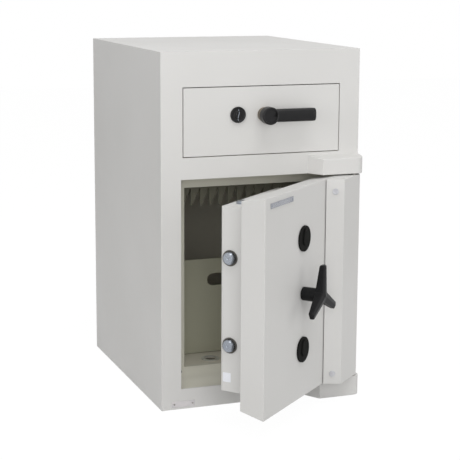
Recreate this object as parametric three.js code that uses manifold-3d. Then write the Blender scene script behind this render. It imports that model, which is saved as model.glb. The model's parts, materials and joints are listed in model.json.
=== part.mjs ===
// Drop safe with a deposit drawer above its door. Millimetres, +Z up, the front faces -Y.
// The origin is the middle of the underside. Inside the group "safe", x runs from the left side
// to the right and y runs back from the front plane.

import * as THREE from 'three';
import { mergeVertices } from 'three/addons/utils/BufferGeometryUtils.js';
import Module from 'manifold-3d';

const wasm = await Module();
wasm.setup();

// General values
const cutOverrun = 3;
const seatGap = 0.3;
const runGap = 0.4;
const round = 32;
const smallRound = 20;

// Cabinet. Heights are stacked from the top down, and the door recess takes what is left.
const body = { width: 500, depth: 592, height: 848, skin: 4 };
const bay = { fromLeft: 53, fromRight: 51, fromTop: 82, height: 163, fromBack: 142, wall: 2 };
const chute = { flapGap: 3.5, height: 37, front: 95, fromBack: 192, wall: 2 };
const chamber = { leftGap: 4, rightGap: 2, fromBack: 54, wall: 2 };
const recess = { fromLeft: 49, fromRight: 50, bottom: 48.5, topGap: 14, depth: 66, bevel: 11, rim: 18 };
const opening = { leftGap: 30, rightGap: 40, bottomGap: 33.5, topGap: 30, flange: 10 };
const comb = { fromTop: 21, band: 43, tooth: 44, thickness: 3, spacing: 164, teeth: 16, tipWidth: 3 };
const panel = { fromDoor: 28, thickness: 2, combGap: 135, floorGap: 1.5, edgeGap: 2.5 };
const slot = { width: 155, height: 30.5, fromTop: 53.25 };
const channel = { width: 7, depth: 14, web: 2 };
const strikeRing = { rim: 8.4, height: 2 };
const ratingPlate = { left: 25, width: 58, bottom: 6, height: 14, thickness: 1 };
const rivet = { inset: 8, radius: 2.6 };

// Hinge
const hinge = { fromRight: 22, ahead: 25.5, pinRadius: 6.5, armRadius: 11.2, openAngle: 41.6 };
const nose = { fromRight: 132, slant: 23.5, wall: 2, pastHinge: 20.5, backGap: 3 };
const ear = { height: 44, slopeDepth: 6, pinInset: 20 };
const arm = { fromCorner: 6.5, height: 49, coverGap: 0.8 };
const washer = { rim: 4.2 };

// Door slab, closed. The slab lies in the recess, and the bolt box passes through the opening.
const slab = {
  leftGap: 3, rightGap: 4, bottomGap: 2.5, topGap: 3, backGap: 2, bevel: 11, skin: 4, backPlate: 4,
};
const boltBox = { leftGap: 33, rightGap: 10, bottomGap: 4, topGap: 8, boltGap: 5, wall: 3, cover: 3 };
const hingeCover = { topGap: 3 };
const screwCap = { radius: 7.5, height: 2.5, fromBottom: 25.5, fromTop: 26, alongShare: 0.53 };
const nameplate = { fromLeft: 25, width: 114, fromTop: 25, height: 12, thickness: 1.2 };
const dogBar = { reach: 18, inset: 23.7, depth: 20, endInset: 44 };

// Door furniture
const spindle = { offCentre: 0.5, radius: 7, tail: 9.5 };
const star = {
  ahead: 55, middleDepth: 21, tipDepth: 11, armLength: 72, rootWidth: 25, tipWidth: 17,
  hubRadius: 16, bossRadius: 18, rise: 4,
};
const rosette = { radius: 30, thickness: 4, fromTop: 85, fromBottom: 81, slotWidth: 5, slotHeight: 14 };
const keyCover = { thickness: 3, hubRadius: 9, flagRadius: 13, flagHang: 18, pivotRise: 15, pinRadius: 3 };
const lockCase = { width: 77, height: 96, depth: 23.4 };

// Boltwork, drawn in so that the door can swing shut
const bolt = { radius: 14, chamfer: 2.5, fromCarriage: 12, proud: 12.5, fromTop: 117, fromBottom: 109 };
const rodBolt = { fromBox: 50, fromLink: 18, topProud: 6.5, bottomProud: 3, length: 68 };
const bush = { flangeWidth: 4.5, flangeHeight: 2, neckWall: 2.6, neckLength: 5 };
const handleTurn = 70;
const cam = {
  linkGap: 1, thickness: 3.5, radius: 38, pinRadius: 3, pinLength: 7, sidePin: 33, rodPin: 21,
};
const carriage = {
  fromBox: 76, camGap: 1.5, barWidth: 8, armDepth: 4, armHeight: 28, endMargin: 15,
};
const link = {
  width: 16, lockGap: 3, depth: 4, armGap: 4.35, armHeight: 12, shaftGap: 2.5, legRim: 11.5, footHeight: 12,
};
const pinPlay = 0.6;

// Drawer
const drawerFront = { gap: 2, thickness: 18 };
const rail = { web: 1.7, height: 25, aboveFloor: 56, width: 7.4, lip: 1.8, frontGap: 3, backGap: 20 };
const runner = { backGap: 50 };
const tray = {
  railGap: 0.6, wall: 1.6, aboveFloor: 29, skirtGap: 14, topGap: 14, hingeY: 156, backGap: 150,
};
const flap = {
  length: 140, sideGap: 0.9, thickness: 1.6, knuckle: 4.2, trunnion: 2.5, below: 3, angle: 30,
};
const lever = {
  offCentre: 4.5, fromTop: 68, collarRadius: 17, collarHeight: 22, hubRadius: 20.7, front: 45,
  length: 114.5, barHeight: 31, barDepth: 22, spindleRadius: 8,
};
const drawerLock = {
  spacing: 66, fromTop: 67, flangeRadius: 19, flangeHeight: 5,
  barrelRadius: 12, plugRadius: 7.5, keyway: 2.4,
};
const strike = { lockReach: 38.5, leverReach: 30.5, height: 30, frontGap: 2, thickness: 5 };
const latch = { frontGap: 1, thickness: 5, length: 46, width: 16 };

// Places that follow from the sizes above
const middleX = body.width / 2;
for (const room of [bay, recess]) {
  room.left = room.fromLeft;
  room.right = body.width - room.fromRight;
}
tray.sideInset = rail.width + tray.railGap;
flap.sideInset = tray.sideInset + tray.wall + flap.sideGap;
chute.left = bay.left + flap.sideInset - chute.flapGap;
chute.right = bay.right - flap.sideInset + chute.flapGap;
chamber.left = chute.left - chamber.leftGap;
chamber.right = chute.right + chamber.rightGap;
for (const room of [bay, chute, chamber]) room.back = body.depth - room.fromBack;
bay.ceiling = body.height - bay.fromTop;
bay.floor = bay.ceiling - bay.height;
chamber.ceiling = bay.floor - chute.height;
recess.top = chamber.ceiling - recess.topGap;

function fitInside(piece, outer) {
  piece.left = outer.left + piece.leftGap;
  piece.right = outer.right - piece.rightGap;
  piece.bottom = outer.bottom + piece.bottomGap;
  piece.top = outer.top - piece.topGap;
}
fitInside(opening, recess);
fitInside(slab, recess);
fitInside(boltBox, opening);

// From the front plane back: slab, locks, links, drive plate, carriage and bolts, box cover, panel
slab.thickness = recess.depth - slab.backGap;
boltBox.front = slab.thickness + seatGap;
lockCase.front = boltBox.front + boltBox.wall + seatGap;
link.front = lockCase.front + lockCase.depth + link.lockGap;
cam.front = link.front + link.depth + cam.linkGap;
carriage.front = cam.front + cam.thickness + carriage.camGap;
spindle.back = cam.front + cam.thickness + spindle.tail;
bolt.y = carriage.front + bolt.fromCarriage;
rodBolt.y = link.front + rodBolt.fromLink;
boltBox.back = bolt.y + bolt.radius + boltBox.boltGap + boltBox.cover;
panel.front = boltBox.back + panel.fromDoor;

comb.top = chamber.ceiling - comb.fromTop;
comb.root = comb.top - comb.band;
comb.tip = comb.root - comb.tooth;
panel.top = comb.tip - panel.combGap;

hinge.x = body.width - hinge.fromRight;
nose.left = body.width - nose.fromRight;
nose.cornerLeft = nose.left + nose.slant;
nose.ahead = hinge.ahead + hinge.armRadius + seatGap + nose.wall;
nose.radius = (nose.ahead - nose.backGap) / 2;
arm.left = nose.cornerLeft + arm.fromCorner;
ear.top = recess.top + ear.height;
washer.radius = hinge.pinRadius + seatGap + washer.rim;
hingeCover.bottom = slab.bottom;
hingeCover.top = slab.top - hingeCover.topGap;
arm.lowerZ = hingeCover.bottom + nose.wall + arm.coverGap;
arm.upperZ = hingeCover.top - nose.wall - seatGap;
washer.top = arm.lowerZ - seatGap;

spindle.x = middleX + spindle.offCentre;
spindle.z = (slab.bottom + slab.top) / 2;
for (const lock of [rosette, bolt]) {
  lock.upperZ = boltBox.top - lock.fromTop;
  lock.lowerZ = boltBox.bottom + lock.fromBottom;
}
bolt.tip = boltBox.left - bolt.proud;
const halfTurn = THREE.MathUtils.degToRad(handleTurn / 2);
rodBolt.throw = 2 * cam.rodPin * Math.sin(halfTurn);
rodBolt.top = boltBox.top + rodBolt.topProud;
rodBolt.bottom = boltBox.bottom - rodBolt.bottomProud;
rodBolt.x = boltBox.left + rodBolt.fromBox;
carriage.left = boltBox.left + carriage.fromBox;
bush.neckRadius = bolt.radius + bush.neckWall;

rail.bottom = bay.floor + rail.aboveFloor;
rail.front = drawerFront.thickness + rail.frontGap;
rail.back = bay.back - rail.backGap;
tray.floor = bay.floor + tray.aboveFloor;
tray.skirt = bay.floor + tray.skirtGap;
tray.top = bay.ceiling - tray.topGap;
tray.back = bay.back - tray.backGap;
lever.x = middleX + lever.offCentre;
lever.z = bay.ceiling - lever.fromTop;
drawerLock.x = lever.x - drawerLock.spacing;
drawerLock.z = bay.ceiling - drawerLock.fromTop;
strike.front = drawerFront.thickness + strike.frontGap;
latch.front = strike.front + strike.thickness + latch.frontGap;

// Materials
function paint(name, color, roughness, metalness) {
  return new THREE.MeshStandardMaterial({ name, color, roughness, metalness });
}
const whitePaint = paint('white_paint', '#dcdad6', 0.55, 0);
const greyPaint = paint('grey_inner_paint', '#8b8c84', 0.6, 0);
const rawSteel = paint('plain_steel', '#8d8d8b', 0.45, 1);
const chrome = paint('chromed_steel', '#c4c4c2', 0.2, 1);
const concrete = paint('barrier_concrete', '#9a968c', 0.95, 0);
const blackPlastic = paint('black_plastic', '#161616', 0.4, 0);
const bronze = paint('sintered_bronze', '#8c7350', 0.5, 1);

// Solids from three.js geometries
function toSolid(geometry) {
  geometry.deleteAttribute('normal');
  geometry.deleteAttribute('uv');
  const merged = mergeVertices(geometry);
  return new wasm.Manifold(new wasm.Mesh({
    numProp: 3,
    vertProperties: new Float32Array(merged.attributes.position.array),
    triVerts: new Uint32Array(merged.index.array),
  }));
}

function toGeometry(solid) {
  const mesh = solid.getMesh();
  const geometry = new THREE.BufferGeometry();
  geometry.setAttribute('position', new THREE.BufferAttribute(mesh.vertProperties, mesh.numProp));
  geometry.setIndex(new THREE.BufferAttribute(mesh.triVerts, 1));
  return geometry;
}

function block([x0, x1], [y0, y1], [z0, z1]) {
  const geometry = new THREE.BoxGeometry(x1 - x0, y1 - y0, z1 - z0);
  geometry.translate((x0 + x1) / 2, (y0 + y1) / 2, (z0 + z1) / 2);
  return toSolid(geometry);
}

// A block whose rectangle at y0 differs from the one at y1
function taperedBlock([y0, y1], near, far) {
  const geometry = new THREE.BoxGeometry(1, 1, 1);
  const places = geometry.attributes.position;
  for (let i = 0; i < places.count; i += 1) {
    const rim = places.getY(i) < 0 ? near : far;
    const x = places.getX(i) < 0 ? rim.left : rim.right;
    const z = places.getZ(i) < 0 ? rim.bottom : rim.top;
    places.setXYZ(i, x, places.getY(i) < 0 ? y0 : y1, z);
  }
  return toSolid(geometry);
}

const alongX = new THREE.Matrix4().makeBasis(
  new THREE.Vector3(0, 1, 0), new THREE.Vector3(0, 0, 1), new THREE.Vector3(1, 0, 0));
const alongY = new THREE.Matrix4().makeRotationX(Math.PI / 2);

// Prisms: the outline lies square to the axis, and the range is along it
function extruded(points, length, bevel = {}) {
  const shape = new THREE.Shape(points.map(([a, b]) => new THREE.Vector2(a, b)));
  return new THREE.ExtrudeGeometry(shape, { depth: length, bevelEnabled: false, ...bevel });
}

function prismZ(points, [z0, z1]) {
  return toSolid(extruded(points, z1 - z0).translate(0, 0, z0));
}

function prismY(points, [y0, y1]) {
  return toSolid(extruded(points, y1 - y0).applyMatrix4(alongY).translate(0, y1, 0));
}

function prismX(points, [x0, x1]) {
  return toSolid(extruded(points, x1 - x0).applyMatrix4(alongX).translate(x0, 0, 0));
}

function arcPoints(cx, cy, radius, from, to, steps) {
  return Array.from({ length: steps + 1 }, (_, i) => {
    const angle = THREE.MathUtils.degToRad(from + ((to - from) * i) / steps);
    return [cx + radius * Math.cos(angle), cy + radius * Math.sin(angle)];
  });
}

function rodX(radius, [x0, x1], y, z, sides = round) {
  const geometry = new THREE.CylinderGeometry(radius, radius, x1 - x0, sides);
  return toSolid(geometry.rotateZ(Math.PI / 2).translate((x0 + x1) / 2, y, z));
}

function rodY(radius, x, [y0, y1], z, sides = round) {
  const geometry = new THREE.CylinderGeometry(radius, radius, y1 - y0, sides);
  return toSolid(geometry.translate(x, (y0 + y1) / 2, z));
}

function rodZ(radius, x, y, [z0, z1], sides = round) {
  const geometry = new THREE.CylinderGeometry(radius, radius, z1 - z0, sides);
  return toSolid(geometry.rotateX(Math.PI / 2).translate(x, y, (z0 + z1) / 2));
}

// A turned solid from a profile of [radius, height] points, standing along +Z
function turned(profile, sides = round) {
  const points = profile.map(([radius, height]) => new THREE.Vector2(radius, height));
  return new THREE.LatheGeometry(points, sides).rotateX(Math.PI / 2);
}

function place(name, solid, material, parent) {
  const mesh = new THREE.Mesh(toGeometry(solid), material);
  mesh.name = name;
  parent.add(mesh);
}

const safe = new THREE.Group();
safe.position.set(-body.width / 2, -body.depth / 2, 0);

// The door hangs open on its hinge axis. Its pieces are drawn closed and shifted to that axis.
const door = new THREE.Group();
door.position.set(hinge.x, -hinge.ahead, 0);
door.rotation.z = THREE.MathUtils.degToRad(hinge.openAngle);
const doorClosed = new THREE.Group();
doorClosed.position.set(-hinge.x, hinge.ahead, 0);
door.add(doorClosed);
safe.add(door);

const frameBack = recess.depth + opening.flange;

function recessRim(inset) {
  return {
    left: recess.left + inset,
    right: recess.right,
    bottom: recess.bottom + inset,
    top: recess.top - inset,
  };
}

function recessCut() {
  const slope = recess.bevel / recess.depth;
  const near = recessRim(-cutOverrun * slope);
  return taperedBlock([-cutOverrun, recess.depth], near, recessRim(recess.bevel));
}

function grownBox(room, y, by) {
  return block([room.left - by, room.right + by], y, [room.floor - by, room.ceiling + by]);
}

// Outer shell: sides, top, bottom and front welded into one, with the back plate apart
function addCasing() {
  const backPlate = body.depth - body.skin;
  const outside = block([0, body.width], [0, backPlate], [0, body.height]);
  const inside = block(
    [body.skin, body.width - body.skin], [body.skin, body.depth], [body.skin, body.height - body.skin]);
  const bayHole = block([bay.left, bay.right], [-cutOverrun, frameBack], [bay.floor, bay.ceiling]);
  place('outer_casing', outside.subtract(inside).subtract(bayHole).subtract(recessCut()), whitePaint, safe);
  place('back_plate', block([0, body.width], [backPlate, body.depth], [0, body.height]), whitePaint, safe);
}

// Heavy bevelled frame that the slab closes into, with the flange that the bolts lock behind
function frameBlock(front = body.skin) {
  return block(
    [recess.left - recess.rim, recess.right + recess.rim],
    [front, frameBack],
    [recess.bottom - recess.rim, recess.top + recess.rim]);
}

function addDoorFrame() {
  const way = block(
    [opening.left, opening.right], [0, frameBack + cutOverrun], [opening.bottom, opening.top]);
  place('door_frame', frameBlock().subtract(recessCut()).subtract(way), whitePaint, safe);
}

const chamberRoom = { ...chamber, floor: opening.bottom };
const chamberRange = [frameBack, chamber.back + chamber.wall];
const bayRange = [body.skin, bay.back + bay.wall];
const strikeHoleRadius = bolt.radius + 2 * seatGap;
const strikeHole = () => rodZ(strikeHoleRadius, rodBolt.x, rodBolt.y,
  [rodBolt.bottom - rodBolt.throw - cutOverrun, opening.bottom + cutOverrun]);

function chuteHole(by, [z0, z1]) {
  return block([chute.left - by, chute.right + by], [chute.front - by, chute.back + by], [z0, z1]);
}

function addInnerRooms() {
  const chamberHollow = grownBox(chamberRoom, [0, chamber.back], 0);
  const chamberLiner = grownBox(chamberRoom, chamberRange, chamber.wall)
    .subtract(chamberHollow)
    .subtract(chuteHole(0, [chamber.ceiling - cutOverrun, chamber.ceiling + cutOverrun]))
    .subtract(strikeHole());
  place('chamber_liner', chamberLiner, greyPaint, safe);

  const bayHollow = grownBox(bay, [0, bay.back], 0);
  const bayLiner = grownBox(bay, bayRange, bay.wall)
    .subtract(bayHollow)
    .subtract(chuteHole(0, [bay.floor - cutOverrun, bay.floor + cutOverrun]));
  place('bay_liner', bayLiner, greyPaint, safe);

  const between = [chamber.ceiling + chamber.wall, bay.floor - bay.wall];
  const throat = chuteHole(0, [between[0] - cutOverrun, between[1] + cutOverrun]);
  place('drop_chute', chuteHole(chute.wall, between).subtract(throat), greyPaint, safe);

  const cast = block(
    [body.skin, body.width - body.skin],
    [body.skin, body.depth - body.skin],
    [body.skin, body.height - body.skin])
    .subtract(frameBlock(0))
    .subtract(grownBox(chamberRoom, [frameBack - cutOverrun, chamberRange[1]], chamber.wall))
    .subtract(grownBox(bay, [0, bayRange[1]], bay.wall))
    .subtract(chuteHole(chute.wall, [chamber.ceiling, bay.floor]))
    .subtract(strikeHole());
  place('barrier_fill', cast, concrete, safe);
}

// Saw-toothed plates across the chamber, which stop a deposit from being fished out
function addComb(name, y) {
  const pitch = (chamber.right - chamber.left) / comb.teeth;
  const outline = [[chamber.left, comb.top]];
  for (let i = 0; i < comb.teeth; i += 1) {
    const left = chamber.left + i * pitch;
    outline.push([left, comb.tip], [left + comb.tipWidth, comb.tip]);
    if (i < comb.teeth - 1) outline.push([left + pitch, comb.root]);
  }
  outline.push([chamber.right, comb.root], [chamber.right, comb.top]);
  place(name, prismY(outline, [y, y + comb.thickness]), greyPaint, safe);
}

// Plate that holds the deposits back when the door is opened, with a slot for a hand
function addRetainingPanel() {
  const left = chamber.left + panel.edgeGap;
  const right = chamber.right - panel.edgeGap;
  const range = [panel.front, panel.front + panel.thickness];
  const radius = slot.height / 2;
  const endX = slot.width / 2 - radius;
  const slotZ = panel.top - slot.fromTop;
  const outline = [
    ...arcPoints(middleX + endX, slotZ, radius, -90, 90, round / 2),
    ...arcPoints(middleX - endX, slotZ, radius, 90, 270, round / 2),
  ];
  const cut = prismY(outline, [panel.front - cutOverrun, panel.front + panel.thickness + cutOverrun]);
  const plate = block([left, right], range, [opening.bottom + panel.floorGap, panel.top]);
  place('retaining_panel', plate.subtract(cut), greyPaint, safe);

  const middle = panel.front + panel.thickness / 2;
  const groove = [panel.front - seatGap, panel.front + panel.thickness + seatGap];
  const height = [opening.bottom, panel.top];
  const sides = [
    ['panel_channel_left', chamber.left, 1],
    ['panel_channel_right', chamber.right, -1],
  ];
  for (const [name, wall, way] of sides) {
    const reach = (length) => [Math.min(wall, wall + way * length), Math.max(wall, wall + way * length)];
    const bar = block(
      reach(channel.width), [middle - channel.depth / 2, middle + channel.depth / 2], height);
    const cutFrom = wall + way * channel.web;
    const cutTo = wall + way * (channel.width + cutOverrun);
    const trench = block([Math.min(cutFrom, cutTo), Math.max(cutFrom, cutTo)], groove,
      [height[0] - cutOverrun, height[1] + cutOverrun]);
    place(name, bar.subtract(trench), greyPaint, safe);
  }
}

function addStrikeRing() {
  const range = [opening.bottom, opening.bottom + strikeRing.height];
  const radius = strikeHoleRadius + strikeRing.rim;
  const ring = rodZ(radius, rodBolt.x, rodBolt.y, range).subtract(strikeHole());
  place('floor_strike_ring', ring, rawSteel, safe);
}

function addRatingPlate() {
  const { left, width, bottom, height, thickness } = ratingPlate;
  const rivetY = [-2 * thickness, -thickness / 2];
  let plate = block([left, left + width], [-thickness, 0], [bottom, bottom + height]);
  for (const x of [left + rivet.inset, left + width - rivet.inset]) {
    plate = plate.add(rodY(rivet.radius, x, rivetY, bottom + height / 2, smallRound));
  }
  place('rating_plate', plate, chrome, safe);
}

// The section shared by the two hinge housings and the door's hinge cover, seen from above
function noseOutline(roundX, back, inset, backRight) {
  const radius = nose.radius - inset;
  const centreY = nose.radius - nose.ahead;
  const slope = (nose.cornerLeft - nose.left) / nose.ahead;
  return [
    [nose.left + 2 * inset - back * slope, back],
    [nose.cornerLeft + inset, inset - nose.ahead],
    ...arcPoints(roundX, centreY, radius, -90, 0, round / 4),
    ...backRight(radius, centreY),
  ];
}

function addHingeHousings() {
  const roundX = body.width - nose.radius;
  const outline = noseOutline(roundX, 0, 0, () => [[body.width, 0]]);
  const bore = (range) => rodZ(hinge.pinRadius + seatGap, hinge.x, -hinge.ahead, range);
  const lower = prismZ(outline, [0, recess.bottom])
    .subtract(bore([ear.pinInset, recess.bottom + cutOverrun]));
  place('lower_hinge_housing', lower, whitePaint, safe);

  const pinTop = ear.top - ear.pinInset;
  const fall = ear.slopeDepth / nose.ahead;
  const rainSlope = prismX([
    [cutOverrun, ear.top + cutOverrun * fall],
    [-nose.ahead - cutOverrun, ear.top - (nose.ahead + cutOverrun) * fall],
    [-nose.ahead - cutOverrun, ear.top + ear.slopeDepth],
    [cutOverrun, ear.top + ear.slopeDepth],
  ], [nose.left - cutOverrun, body.width + cutOverrun]);
  const upper = prismZ(outline, [recess.top, ear.top])
    .subtract(rainSlope)
    .subtract(bore([recess.top - cutOverrun, pinTop]));
  place('upper_hinge_housing', upper, whitePaint, safe);

  const pin = (range) => rodZ(hinge.pinRadius, hinge.x, -hinge.ahead, range);
  place('lower_hinge_pin', pin([ear.pinInset + seatGap, slab.bottom + arm.height]), rawSteel, safe);
  place('upper_hinge_pin', pin([slab.top - arm.height, pinTop - seatGap]), rawSteel, safe);
  const ring = rodZ(washer.radius, hinge.x, -hinge.ahead, [recess.bottom, washer.top])
    .subtract(bore([recess.bottom - cutOverrun, washer.top + cutOverrun]));
  place('thrust_washer', ring, bronze, safe);
}

function slabRim(inset, skin) {
  return {
    left: slab.left + inset + skin,
    right: slab.right - skin,
    bottom: slab.bottom + inset + skin,
    top: slab.top - inset - skin,
  };
}

// Steel pan with bevelled edges, its cast filling and the plate that shuts it from behind
function addSlab() {
  const slope = slab.bevel / slab.thickness;
  const skinFront = slab.skin;
  const pan = taperedBlock([0, slab.thickness], slabRim(0, 0), slabRim(slab.bevel, 0));
  const far = slab.thickness + cutOverrun;
  const hollow = taperedBlock(
    [skinFront, far], slabRim(slope * skinFront, slab.skin), slabRim(slope * far, slab.skin));
  const keyHoles = [rosette.upperZ, rosette.lowerZ].map((z) => keyWay(z, slab.thickness + cutOverrun));
  const shaftHole = rodY(
    spindle.radius + runGap, spindle.x, [-cutOverrun, slab.thickness + cutOverrun], spindle.z, smallRound);
  const holes = [shaftHole, ...keyHoles];
  const through = (solid) => holes.reduce((rest, hole) => rest.subtract(hole), solid);
  place('door_skin', through(pan.subtract(hollow)), whitePaint, doorClosed);

  const fillFront = skinFront + seatGap;
  const plateFront = slab.thickness - slab.backPlate;
  const fillBack = plateFront - seatGap;
  const inset = slab.skin + seatGap;
  const fill = taperedBlock(
    [fillFront, fillBack], slabRim(slope * fillFront, inset), slabRim(slope * fillBack, inset));
  place('door_fill', through(fill), concrete, doorClosed);

  const plate = taperedBlock(
    [plateFront, slab.thickness], slabRim(slope * plateFront, inset), slabRim(slab.bevel, inset));
  place('door_back_plate', through(plate), whitePaint, doorClosed);
}

function keyWay(z, to) {
  return block(
    [spindle.x - rosette.slotWidth / 2, spindle.x + rosette.slotWidth / 2],
    [-rosette.thickness - cutOverrun, to],
    [z - rosette.slotHeight / 2, z + rosette.slotHeight / 2]);
}

function addBoltBox() {
  const { front } = boltBox;
  const coverFront = boltBox.back - boltBox.cover;
  const range = [front, coverFront - seatGap];
  const wall = boltBox.wall;
  const outside = block([boltBox.left, boltBox.right], range, [boltBox.bottom, boltBox.top]);
  const inside = block(
    [boltBox.left + wall, boltBox.right - wall],
    [front + wall, boltBox.back],
    [boltBox.bottom + wall, boltBox.top - wall]);
  const neck = bush.neckRadius + seatGap;
  let box = outside.subtract(inside);
  for (const z of [bolt.upperZ, bolt.lowerZ]) {
    const wallX = [boltBox.left - cutOverrun, boltBox.left + wall + cutOverrun];
    box = box.subtract(rodX(neck, wallX, bolt.y, z));
  }
  const rodHole = bolt.radius + runGap;
  for (const [z0, z1] of [[boltBox.bottom, boltBox.bottom + wall], [boltBox.top - wall, boltBox.top]]) {
    box = box.subtract(rodZ(rodHole, rodBolt.x, rodBolt.y, [z0 - cutOverrun, z1 + cutOverrun]));
  }
  const shaftHole = rodY(
    spindle.radius + runGap, spindle.x, [0, front + wall + cutOverrun], spindle.z, smallRound);
  box = box.subtract(shaftHole);
  for (const z of [rosette.upperZ, rosette.lowerZ]) {
    box = box.subtract(keyWay(z, front + wall + cutOverrun));
  }
  place('bolt_box', box, whitePaint, doorClosed);

  const cover = block(
    [boltBox.left, boltBox.right], [coverFront, boltBox.back], [boltBox.bottom, boltBox.top]);
  place('bolt_box_cover', cover, whitePaint, doorClosed);

  const bar = block(
    [boltBox.right + seatGap, boltBox.right + seatGap + dogBar.reach],
    [boltBox.front + dogBar.inset, boltBox.front + dogBar.inset + dogBar.depth],
    [boltBox.bottom + dogBar.endInset, boltBox.top - dogBar.endInset]);
  place('hinge_side_dog_bar', bar, rawSteel, doorClosed);
}

// Folded cover over the hinge arms, closed at both ends and open towards the slab
function addHingeCover() {
  const roundX = hinge.x + nose.pastHinge - nose.radius;
  const openBack = (radius, centreY) => [
    ...arcPoints(roundX, centreY, radius, 0, 90, round / 4),
    [slab.right, centreY + radius],
    [slab.right, -seatGap],
  ];
  const outside = prismZ(noseOutline(roundX, -seatGap, 0, openBack), [hingeCover.bottom, hingeCover.top]);
  const openFront = (radius, centreY) => [
    ...arcPoints(roundX, centreY, radius, 0, 90, round / 4),
    [slab.right - nose.wall, centreY + radius],
    [slab.right - nose.wall, cutOverrun],
  ];
  const inside = prismZ(noseOutline(roundX, cutOverrun, nose.wall, openFront),
    [hingeCover.bottom + nose.wall, hingeCover.top - nose.wall]);
  const pinWay = rodZ(washer.radius + runGap, hinge.x, -hinge.ahead,
    [hingeCover.bottom - cutOverrun, hingeCover.top + cutOverrun]);
  place('hinge_cover', outside.subtract(inside).subtract(pinWay), whitePaint, doorClosed);

  const endX = slab.right - nose.wall - seatGap;
  const armOutline = [
    [arm.left, -seatGap],
    [arm.left, -hinge.ahead - hinge.armRadius],
    ...arcPoints(hinge.x, -hinge.ahead, hinge.armRadius, -90, 90, round / 2),
    [endX, hinge.armRadius - hinge.ahead],
    [endX, -seatGap],
  ];
  const arms = [
    ['hinge_arm_lower', arm.lowerZ, arm.lowerZ + arm.height],
    ['hinge_arm_upper', arm.upperZ - arm.height, arm.upperZ],
  ];
  for (const [name, z0, z1] of arms) {
    const bore = rodZ(
      hinge.pinRadius + seatGap, hinge.x, -hinge.ahead, [z0 - cutOverrun, z1 + cutOverrun]);
    place(name, prismZ(armOutline, [z0, z1]).subtract(bore), rawSteel, doorClosed);
  }
}

// Caps over the two screws of the cover, square to its slanting face
function addScrewCaps() {
  const rise = Math.atan2(nose.ahead, nose.cornerLeft - nose.left);
  const x = nose.left + (nose.cornerLeft - nose.left) * screwCap.alongShare;
  const y = -nose.ahead * screwCap.alongShare;
  const caps = [
    ['screw_cap_lower', hingeCover.bottom + screwCap.fromBottom],
    ['screw_cap_upper', hingeCover.top - screwCap.fromTop],
  ];
  for (const [name, z] of caps) {
    const geometry = new THREE.CylinderGeometry(
      screwCap.radius, screwCap.radius, screwCap.height, smallRound);
    geometry.translate(0, -(screwCap.height / 2 + seatGap), 0);
    geometry.rotateZ(-rise);
    geometry.translate(x, y, z);
    place(name, toSolid(geometry), greyPaint, doorClosed);
  }
}

function addNameplate() {
  const left = slab.left + nameplate.fromLeft;
  const bottom = slab.top - nameplate.fromTop;
  const plate = block(
    [left, left + nameplate.width],
    [-seatGap - nameplate.thickness, -seatGap],
    [bottom, bottom + nameplate.height]);
  place('door_nameplate', plate, chrome, doorClosed);
}

// Black discs round the keyholes, each with a cover that swings aside on a pin, and the locks behind
function addLocks() {
  const pivotRadius = keyCover.pinRadius + seatGap;
  const locks = [['upper', rosette.upperZ], ['lower', rosette.lowerZ]];
  for (const [which, z] of locks) {
    const pivotZ = z + keyCover.pivotRise;
    const discFront = -seatGap - rosette.thickness;
    const disc = rodY(rosette.radius, spindle.x, [discFront, -seatGap], z)
      .subtract(keyWay(z, cutOverrun))
      .subtract(rodY(pivotRadius, spindle.x, [discFront - cutOverrun, cutOverrun], pivotZ, smallRound));
    place(`keyhole_rosette_${which}`, disc, blackPlastic, doorClosed);

    const coverBack = discFront - seatGap;
    const coverFront = coverBack - keyCover.thickness;
    const hub = arcPoints(spindle.x, pivotZ, keyCover.hubRadius, 0, 180, round / 2);
    const flag = arcPoints(spindle.x, pivotZ - keyCover.flagHang, keyCover.flagRadius, 180, 360, round / 2);
    const pinY = [coverBack - seatGap, -2 * seatGap];
    const pin = rodY(keyCover.pinRadius, spindle.x, pinY, pivotZ, smallRound);
    const swing = prismY([...hub, ...flag], [coverFront, coverBack]).add(pin);
    place(`keyhole_cover_${which}`, swing, blackPlastic, doorClosed);

    const lock = block(
      [spindle.x - lockCase.width / 2, spindle.x + lockCase.width / 2],
      [lockCase.front, lockCase.front + lockCase.depth],
      [z - lockCase.height / 2, z + lockCase.height / 2]);
    const keyHole = keyWay(z, lockCase.front + lockCase.depth / 2);
    place(`lock_case_${which}`, lock.subtract(keyHole), rawSteel, doorClosed);
  }
}

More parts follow.
